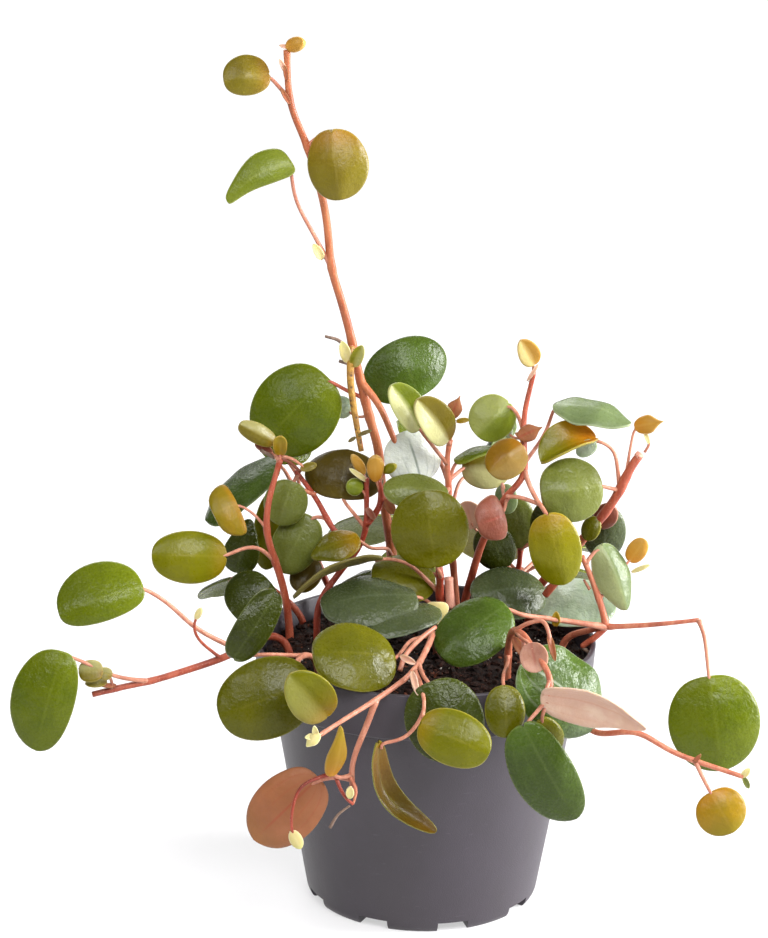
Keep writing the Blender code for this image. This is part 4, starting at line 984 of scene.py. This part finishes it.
def leaf_surface(look, under):
    """A waxy leaf: its mottled skin, faint veins, fine specks, a pale rim and a leathery grain."""
    body, tone, base, tip, rim, back, gloss, grain = LEAF_LOOKS[look]
    made = Nodes("leaf_" + look + ("_under" if under else ""))
    along = made.attribute("along")
    speckle = made.noise(1100.0, 2.0, 0.6)
    vein_colour, strength = STRONG_VEINS.get(look, (rim, 1.0))
    veins = leaf_veins(made, along, strength)
    skin = made.mix(veins, leaf_skin(made, look, under, along), colour(vein_colour))
    skin = made.mix(made.spread(speckle, 0.55, 0.8, 0.0, 0.1), skin, colour(rim))
    skin = made.mix(made.spread(speckle, 0.22, 0.42, 0.2, 0.0), skin, colour(tone))
    skin = made.mix(made.spread(made.attribute("edge"), 0.05, 0.55, 0.5, 0.0), skin, colour(rim))
    made.set(Base_Color=skin, Roughness=made.spread(speckle, 0.3, 0.8, gloss, gloss + 0.14))
    made.set(Subsurface_Weight=0.1, Subsurface_Scale=0.0015, Specular_IOR_Level=LEAF_SPECULAR)
    made.shader.inputs["Subsurface Radius"].default_value = (1.0, 0.9, 0.15)
    relief = made.math("MULTIPLY_ADD", veins, -0.25, made.math("MULTIPLY", speckle, 0.55 * grain))
    relief = made.math("MULTIPLY_ADD", made.noise(420.0, 2.0), 1.1 * grain, relief)
    relief = made.math("MULTIPLY_ADD", made.noise(130.0, 2.0), 1.5, relief)
    made.bump(relief, 0.00028)
    return made.material


# Each bark look: its colour, its colour where it is lit or young, and its older patches.
BARK_LOOKS = {
    "coral": ("A65A42", "B87458", "863F2E"),
    "salmon": ("A66A54", "BC8068", "8A4C3A"),
    "brick": ("903E28", "A8563E", "702C20"),
    "amber": ("98502F", "AA6640", "7C3C26"),
    "crimson": ("82301E", "983E2C", "60221A"),
}


def bark_surface(look):
    """A fleshy coral stem, with darker older patches, lengthwise streaks and small pale pores."""
    body, light, old = BARK_LOOKS[look]
    made = Nodes("stem_" + look)
    streaks = made.noise(420.0, 3.0, 0.6, (1.0, 1.0, 0.12))
    skin = made.mix(made.spread(streaks, 0.35, 0.65), colour(body), colour(light))
    skin = made.mix(made.spread(made.noise(70.0, 3.0), 0.5, 0.72, 0.0, 0.7), skin, colour(old))
    pores = made.cells(1100.0)
    skin = made.mix(made.spread(pores, 0.12, 0.3, 0.2, 0.0), skin, colour("E0B494"))
    made.set(Base_Color=skin, Roughness=made.spread(streaks, 0.3, 0.7, 0.36, 0.5), Specular_IOR_Level=0.35)
    made.set(Subsurface_Weight=0.12, Subsurface_Scale=0.0012)
    made.shader.inputs["Subsurface Radius"].default_value = (1.0, 0.45, 0.25)
    made.bump(made.math("ADD", streaks, made.math("MULTIPLY", pores, 0.4)), 0.00012)
    return made.material


def spike_surface():
    """The old flower spike: ochre, dotted with brown where the flowers stood."""
    made = Nodes("flower_spike")
    dots = made.cells(620.0)
    skin = made.mix(made.spread(made.noise(300.0), 0.4, 0.6), colour("9E7426"), colour("845C1C"))
    skin = made.mix(made.spread(dots, 0.2, 0.36, 0.9, 0.0), skin, colour("4A2E12"))
    made.set(Base_Color=skin, Roughness=0.6)
    made.bump(dots, 0.0004)
    return made.material


def dry_surface():
    """A dried brown twig or bud scale."""
    made = Nodes("dry_bits")
    grain = made.noise(900.0, 3.0, 0.6, (1.0, 1.0, 0.2))
    made.set(Base_Color=made.mix(grain, colour("4A362C"), colour("8A7262")), Roughness=0.75)
    made.bump(grain, 0.0003)
    return made.material


def cut_surface():
    """The pale corky end of a cut stem."""
    made = Nodes("cut_end")
    rings = made.noise(1400.0, 3.0)
    made.set(Base_Color=made.mix(rings, colour("D09A84"), colour("B87866")), Roughness=0.7)
    made.bump(rings, 0.0003)
    return made.material


def pot_surface():
    """Grey moulded plastic with a faint mauve cast, fine grain and rubbed patches."""
    made = Nodes("grey_plastic")
    cloud = made.noise(28.0, 4.0, 0.55, (1.0, 1.0, 0.5))
    grain = made.noise(2600.0, 2.0)
    skin = made.mix(made.spread(cloud, 0.35, 0.68), colour("2F292F"), colour("38323A"))
    scuffs = made.noise(160.0, 4.0, 0.7, (1.0, 1.0, 5.0))
    skin = made.mix(made.spread(scuffs, 0.62, 0.78, 0.0, 0.3), skin, colour("6E6874"))
    made.set(Base_Color=skin, Roughness=made.spread(cloud, 0.3, 0.7, 0.38, 0.5))
    made.bump(made.math("MULTIPLY_ADD", made.noise(120.0, 3.0), 1.5, grain), 0.00008)
    return made.material


def soil_surface(name, low, high, speck):
    """Damp peat: near black, with brown fibres and pale mineral specks."""
    made = Nodes(name)
    lump = made.noise(700.0, 4.0, 0.65)
    skin = made.mix(made.spread(lump, 0.35, 0.7), colour(low), colour(high))
    skin = made.mix(made.spread(made.cells(1500.0), 0.05, 0.16, 0.5, 0.0), skin, colour(speck))
    made.set(Base_Color=skin, Roughness=made.spread(lump, 0.3, 0.7, 0.62, 0.95), Specular_IOR_Level=0.2)
    made.bump(made.math("ADD", lump, made.noise(2400.0, 3.0)), 0.0006)
    return made.material


def floor_surface():
    """A plain pale floor, lit from within a little and more so far from the pot, as a white sweep is."""
    made = Nodes("pale_floor")
    away = made.tree.nodes.new("ShaderNodeVectorMath")
    away.operation = "LENGTH"
    made.put(away.inputs[0], made.place)
    made.set(Base_Color=made.mix(made.noise(3.0), colour("AAA9AB"), colour("AEADAF")), Roughness=0.7)
    made.shader.inputs["Emission Color"].default_value = (1.0, 1.0, 1.0, 1.0)
    made.set(Emission_Strength=made.spread(away.outputs["Value"], 0.3, 3.0, FLOOR_GLOW, 1.0))
    return made.material


PLAIN_LOOKS = {
    "spike": spike_surface,
    "dry": dry_surface,
    "cut": cut_surface,
    "plastic": pot_surface,
    "soil": lambda: soil_surface("potting_soil", "0E0705", "28140C", "64402E"),
    "crumb": lambda: soil_surface("soil_crumb", "160A06", "341A10", "704A36"),
    "chip": lambda: soil_surface("bark_chip", "4A2418", "7A4630", "9A6A4C"),
    "fleck": lambda: soil_surface("mineral_fleck", "B4AAA0", "D8D2CA", "F0ECE6"),
}

MADE_MATERIALS = {}


def material_for(look):
    """The material of a look, made once."""
    if look not in MADE_MATERIALS:
        leaf_name = look.removesuffix("_under")
        if leaf_name in LEAF_LOOKS:
            MADE_MATERIALS[look] = leaf_surface(leaf_name, look != leaf_name)
        elif look in BARK_LOOKS:
            MADE_MATERIALS[look] = bark_surface(look)
        else:
            MADE_MATERIALS[look] = PLAIN_LOOKS[look]()
    return MADE_MATERIALS[look]


def turned(name, profile, sides, look):
    """A turned shape from its profile, given as a ring of radius and height pairs."""
    mesh = bpy.data.meshes.new(name)
    work = bmesh.new()
    rings = []
    for step in range(sides):
        turn = 2 * math.pi * step / sides
        x, y = math.cos(turn) * MM, math.sin(turn) * MM
        rings.append([work.verts.new((radius * x, radius * y, height * MM)) for radius, height in profile])
    for step in range(sides):
        ring, following = rings[step], rings[(step + 1) % sides]
        for index in range(len(profile)):
            after = (index + 1) % len(profile)
            work.faces.new((ring[index], ring[after], following[after], following[index]))
    bmesh.ops.remove_doubles(work, verts=work.verts, dist=0.000001)
    bmesh.ops.recalc_face_normals(work, faces=work.faces)
    work.to_mesh(mesh)
    work.free()
    mesh.materials.append(material_for(look))
    made = bpy.data.objects.new(name, mesh)
    bpy.context.scene.collection.objects.link(made)
    return made


def add_box(work, size, place, turn):
    """Adds a box to the shapes that cut."""
    spot = Matrix.Translation(Vector(place) * MM) @ Matrix.Rotation(turn, 4, "Z")
    spot = spot @ Matrix.Diagonal((*(value * MM for value in size), 1.0))
    bmesh.ops.create_cube(work, size=1.0, matrix=spot)


def add_bar(work, radius, depth, place):
    """Adds an upright round bar to the shapes that cut."""
    bmesh.ops.create_cone(work, cap_ends=True, segments=24, depth=depth * MM, radius1=radius * MM,
                          radius2=radius * MM, matrix=Matrix.Translation(Vector(place) * MM))


def cut_out(made, work):
    """Cuts shapes out of an object for good."""
    mesh = bpy.data.meshes.new("cutter")
    work.to_mesh(mesh)
    work.free()
    tool = bpy.data.objects.new("cutter", mesh)
    bpy.context.scene.collection.objects.link(tool)
    difference = made.modifiers.new("cut", "BOOLEAN")
    difference.operation = "DIFFERENCE"
    difference.object = tool
    bpy.context.view_layer.update()
    evaluated = made.evaluated_get(bpy.context.evaluated_depsgraph_get())
    result = bpy.data.meshes.new_from_object(evaluated)
    made.modifiers.clear()
    made.data = result
    bpy.data.objects.remove(tool, do_unlink=True)


def rounded(profile, corner_radius):
    """The profile with each of its corners rounded off, as far as its sides allow."""
    made = []
    count = len(profile)
    for index in range(count):
        here = Vector(profile[index])
        before, after = Vector(profile[index - 1]), Vector(profile[(index + 1) % count])
        if here.x == 0.0:
            made.append(tuple(here))
            continue
        reach = min(corner_radius, (before - here).length * 0.4, (after - here).length * 0.4)
        start = here + (before - here).normalized() * reach
        end = here + (after - here).normalized() * reach
        for step in range(4):
            t = step / 3
            made.append(tuple(start * (1 - t) ** 2 + here * (2 * t * (1 - t)) + end * t ** 2))
    return made


def about_axis(reach, turn, height=0.0):
    """The place at a distance from the pot's axis, towards an angle."""
    return Vector((reach * math.cos(turn), reach * math.sin(turn), height))


def pot():
    """The nursery pot: a rim band over a tapering wall, a flat underside, foot gaps and drain holes."""
    band_foot = POT_HEIGHT - RIM_BAND
    profile = [
        (RIM_RADIUS - 2.0, POT_HEIGHT),
        (RIM_RADIUS - 0.1, POT_HEIGHT),
        (RIM_RADIUS - 1.3, band_foot),
        (RIM_RADIUS - 2.1, band_foot - 0.6),
        (WALL_TOP_RADIUS, band_foot - 1.2),
        (WALL_FOOT_RADIUS, 4.5),
        (WALL_FOOT_RADIUS - 0.5, 1.8),
        (WALL_FOOT_RADIUS - 1.6, 0.0),
        (0.0, 0.0),
        (0.0, FLOOR_TOP_Z),
        (WALL_FOOT_RADIUS - WALL - 0.8, FLOOR_TOP_Z),
        (WALL_FOOT_RADIUS - WALL, FLOOR_TOP_Z + 2.1),
        (WALL_TOP_RADIUS - WALL, band_foot - 0.2),
        (RIM_RADIUS - 3.3, band_foot + 0.9),
    ]
    made = turned("plastic_pot", rounded(profile, 0.7), POT_SIDES, "plastic")
    work = bmesh.new()
    for index in range(FOOT_GAPS):
        turn = math.radians(FOOT_GAP_TURN) + 2 * math.pi * index / FOOT_GAPS
        add_box(work, FOOT_GAP_SIZE, about_axis(FOOT_GAP_REACH, turn), turn)
    for index in range(DRAIN_HOLES):
        turn = 2 * math.pi * index / DRAIN_HOLES
        add_bar(work, DRAIN_RADIUS, 4 * FLOOR_TOP_Z, about_axis(DRAIN_REACH, turn))
    cut_out(made, work)
    made.data.shade_smooth()
    made.data.set_sharp_from_angle(angle=math.radians(50))
    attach(made, "root")
    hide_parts("pot")


def soil_height(x, y):
    """The height of the soil's surface, with its slow rise and fall and its fine crumble."""
    slow = SOIL_RELIEF * (math.sin(0.21 * x + 1.3) * math.cos(0.17 * y) + 0.5 * math.sin(0.34 * y + 0.6))
    place = Vector((x, y, 0.0))
    crumble = sum(height * noise.noise(place * fineness) for height, fineness in SOIL_CRUMBLE)
    return SOIL_Z + slow + crumble - SOIL_EDGE_DROP * step_between(50.0, SOIL_RADIUS, math.hypot(x, y))


def soil_body():
    """The filling: a crumbly top over a plain tapering body."""
    skin = Skin()
    turns = [2 * math.pi * spoke / SOIL_SPOKES for spoke in range(SOIL_SPOKES)]
    rings = []
    for step in range(1, SOIL_RINGS + 1):
        places = [about_axis(SOIL_RADIUS * step / SOIL_RINGS, turn) for turn in turns]
        rings.append([skin.point(Vector((x, y, soil_height(x, y)))) for x, y, _ in places])
    for reach, height in ((55.9, 79.5), (51.8, 78.0), (39.0, FLOOR_TOP_Z + 0.6), (20.0, FLOOR_TOP_Z + 0.4)):
        rings.append([skin.point(about_axis(reach, turn, height)) for turn in turns])
    skin.rings(rings, lambda index: "soil")
    skin.faces = [tuple(reversed(face)) for face in skin.faces]
    return skin


def lump(skin, place, size, look, chance, flat=1.0):
    """One crumb: a rough little block, squashed and turned by chance."""
    turn = Matrix.Rotation(chance.uniform(0, math.tau), 3, "Z")
    turn = turn @ Matrix.Rotation(chance.uniform(-0.9, 0.9), 3, "X")
    work = bmesh.new()
    bmesh.ops.create_icosphere(work, subdivisions=1, radius=1.0)
    shape = Vector((size * chance.uniform(0.7, 1.5), size * chance.uniform(0.6, 1.0),
                    size * flat * chance.uniform(0.5, 0.9)))
    numbers = {}
    for vertex in work.verts:
        spot = vertex.co * (1.0 + chance.uniform(-0.28, 0.28))
        spot = turn @ Vector((spot.x * shape.x, spot.y * shape.y, spot.z * shape.z))
        numbers[vertex.index] = skin.point(place + spot)
    for face in work.faces:
        skin.face([numbers[vertex.index] for vertex in face.verts], look)
    work.free()


def scattered(skin, count, smallest, biggest, look, chance, flat=1.0):
    """Crumbs over the soil's surface, clear of the rim."""
    for _ in range(count):
        away = CRUMB_REACH * math.sqrt(chance.random())
        x, y, _ = about_axis(away, chance.uniform(0, math.tau))
        size = smallest + (biggest - smallest) * chance.random() ** 2
        lump(skin, Vector((x, y, soil_height(x, y) + size * 0.2)), size, look, chance, flat)


def soil():
    """The soil, its crumbs, bark chips and pale mineral flecks, in one piece."""
    chance = random.Random(7)
    skin = soil_body()
    scattered(skin, CRUMB_COUNT, 0.35, 1.7, "crumb", chance)
    scattered(skin, CHIP_COUNT, 0.5, 1.6, "chip", chance, 0.45)
    scattered(skin, FLECK_COUNT, 0.2, 0.6, "fleck", chance)
    made = skin.finished("crumbly_soil")
    made.data.set_sharp_from_angle(angle=math.radians(35))
    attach(made, "root")
    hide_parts("soil")


def floor():
    """A wide pale floor that ends far behind the pot."""
    mesh = bpy.data.meshes.new("floor")
    mesh.from_pydata([(-15, -15, 0), (15, -15, 0), (15, 30, 0), (-15, 30, 0)], [], [(0, 1, 2, 3)])
    mesh.materials.append(floor_surface())
    made = bpy.data.objects.new("floor", mesh)
    bpy.context.scene.collection.objects.link(made)


def softbox(name, place, aim, width, height, power):
    """A large soft light that looks at a point."""
    light = bpy.data.lights.new(name, "AREA")
    light.shape = "RECTANGLE"
    light.size = width
    light.size_y = height
    light.energy = power
    made = bpy.data.objects.new(name, light)
    bpy.context.scene.collection.objects.link(made)
    made.location = place
    made.rotation_euler = (Vector(aim) - Vector(place)).to_track_quat("-Z", "Y").to_euler()


def sky():
    """A white sky, bright overhead and behind, dim at the viewer's side."""
    world = bpy.data.worlds.new("studio")
    bpy.context.scene.world = world
    world.use_nodes = True
    tree = world.node_tree
    parts = tree.nodes.new("ShaderNodeSeparateXYZ")
    tree.links.new(tree.nodes.new("ShaderNodeTexCoord").outputs["Generated"], parts.inputs["Vector"])
    height = tree.nodes.new("ShaderNodeMapRange")
    height.inputs["To Min"].default_value = SKY_LEVEL
    height.inputs["To Max"].default_value = SKY_TOP
    tree.links.new(parts.outputs["Z"], height.inputs["Value"])
    behind = tree.nodes.new("ShaderNodeMapRange")
    behind.inputs["To Max"].default_value = SKY_BACK
    tree.links.new(parts.outputs["Y"], behind.inputs["Value"])
    total = tree.nodes.new("ShaderNodeMath")
    tree.links.new(height.outputs["Result"], total.inputs[0])
    tree.links.new(behind.outputs["Result"], total.inputs[1])
    background = tree.nodes["Background"]
    background.inputs["Color"].default_value = (1.0, 1.0, 1.0, 1.0)
    tree.links.new(total.outputs["Value"], background.inputs["Strength"])


def lights():
    """Softboxes above both shoulders, at the right and behind."""
    softbox("key", (0.4, -0.9, 0.98), (0.0, 0.0, 0.12), 0.7, 0.5, KEY_POWER)
    softbox("fill", (-0.6, -0.8, 0.95), (0.0, 0.0, 0.12), 0.5, 0.5, FILL_POWER)
    softbox("side", (1.15, 0.0, 0.5), (0.0, 0.0, 0.08), 0.4, 0.8, SIDE_POWER)
    softbox("back", (-0.25, 0.95, 0.9), (0.0, 0.0, 0.15), 0.9, 0.5, BACK_POWER)


def camera():
    """The camera at the photograph's place and angle."""
    data = bpy.data.cameras.new("camera")
    data.sensor_width = CAMERA_SENSOR
    data.sensor_fit = "AUTO"
    data.lens = CAMERA_LENS
    data.clip_start = 0.01
    data.clip_end = 60.0
    made = bpy.data.objects.new("camera", data)
    bpy.context.scene.collection.objects.link(made)
    tilt = Matrix.Rotation(math.radians(90.0 - CAMERA_DOWN), 4, "X")
    roll = Matrix.Rotation(math.radians(CAMERA_ROLL), 4, "Z")
    made.matrix_world = Matrix.Translation(Vector(CAMERA_PLACE) * MM) @ tilt @ roll
    bpy.context.scene.camera = made


camera()
sky()
lights()
floor()
pot()
soil()
for shoot_name, shoot_spec in SHOOTS.items():
    shoot_piece(shoot_name, shoot_spec)
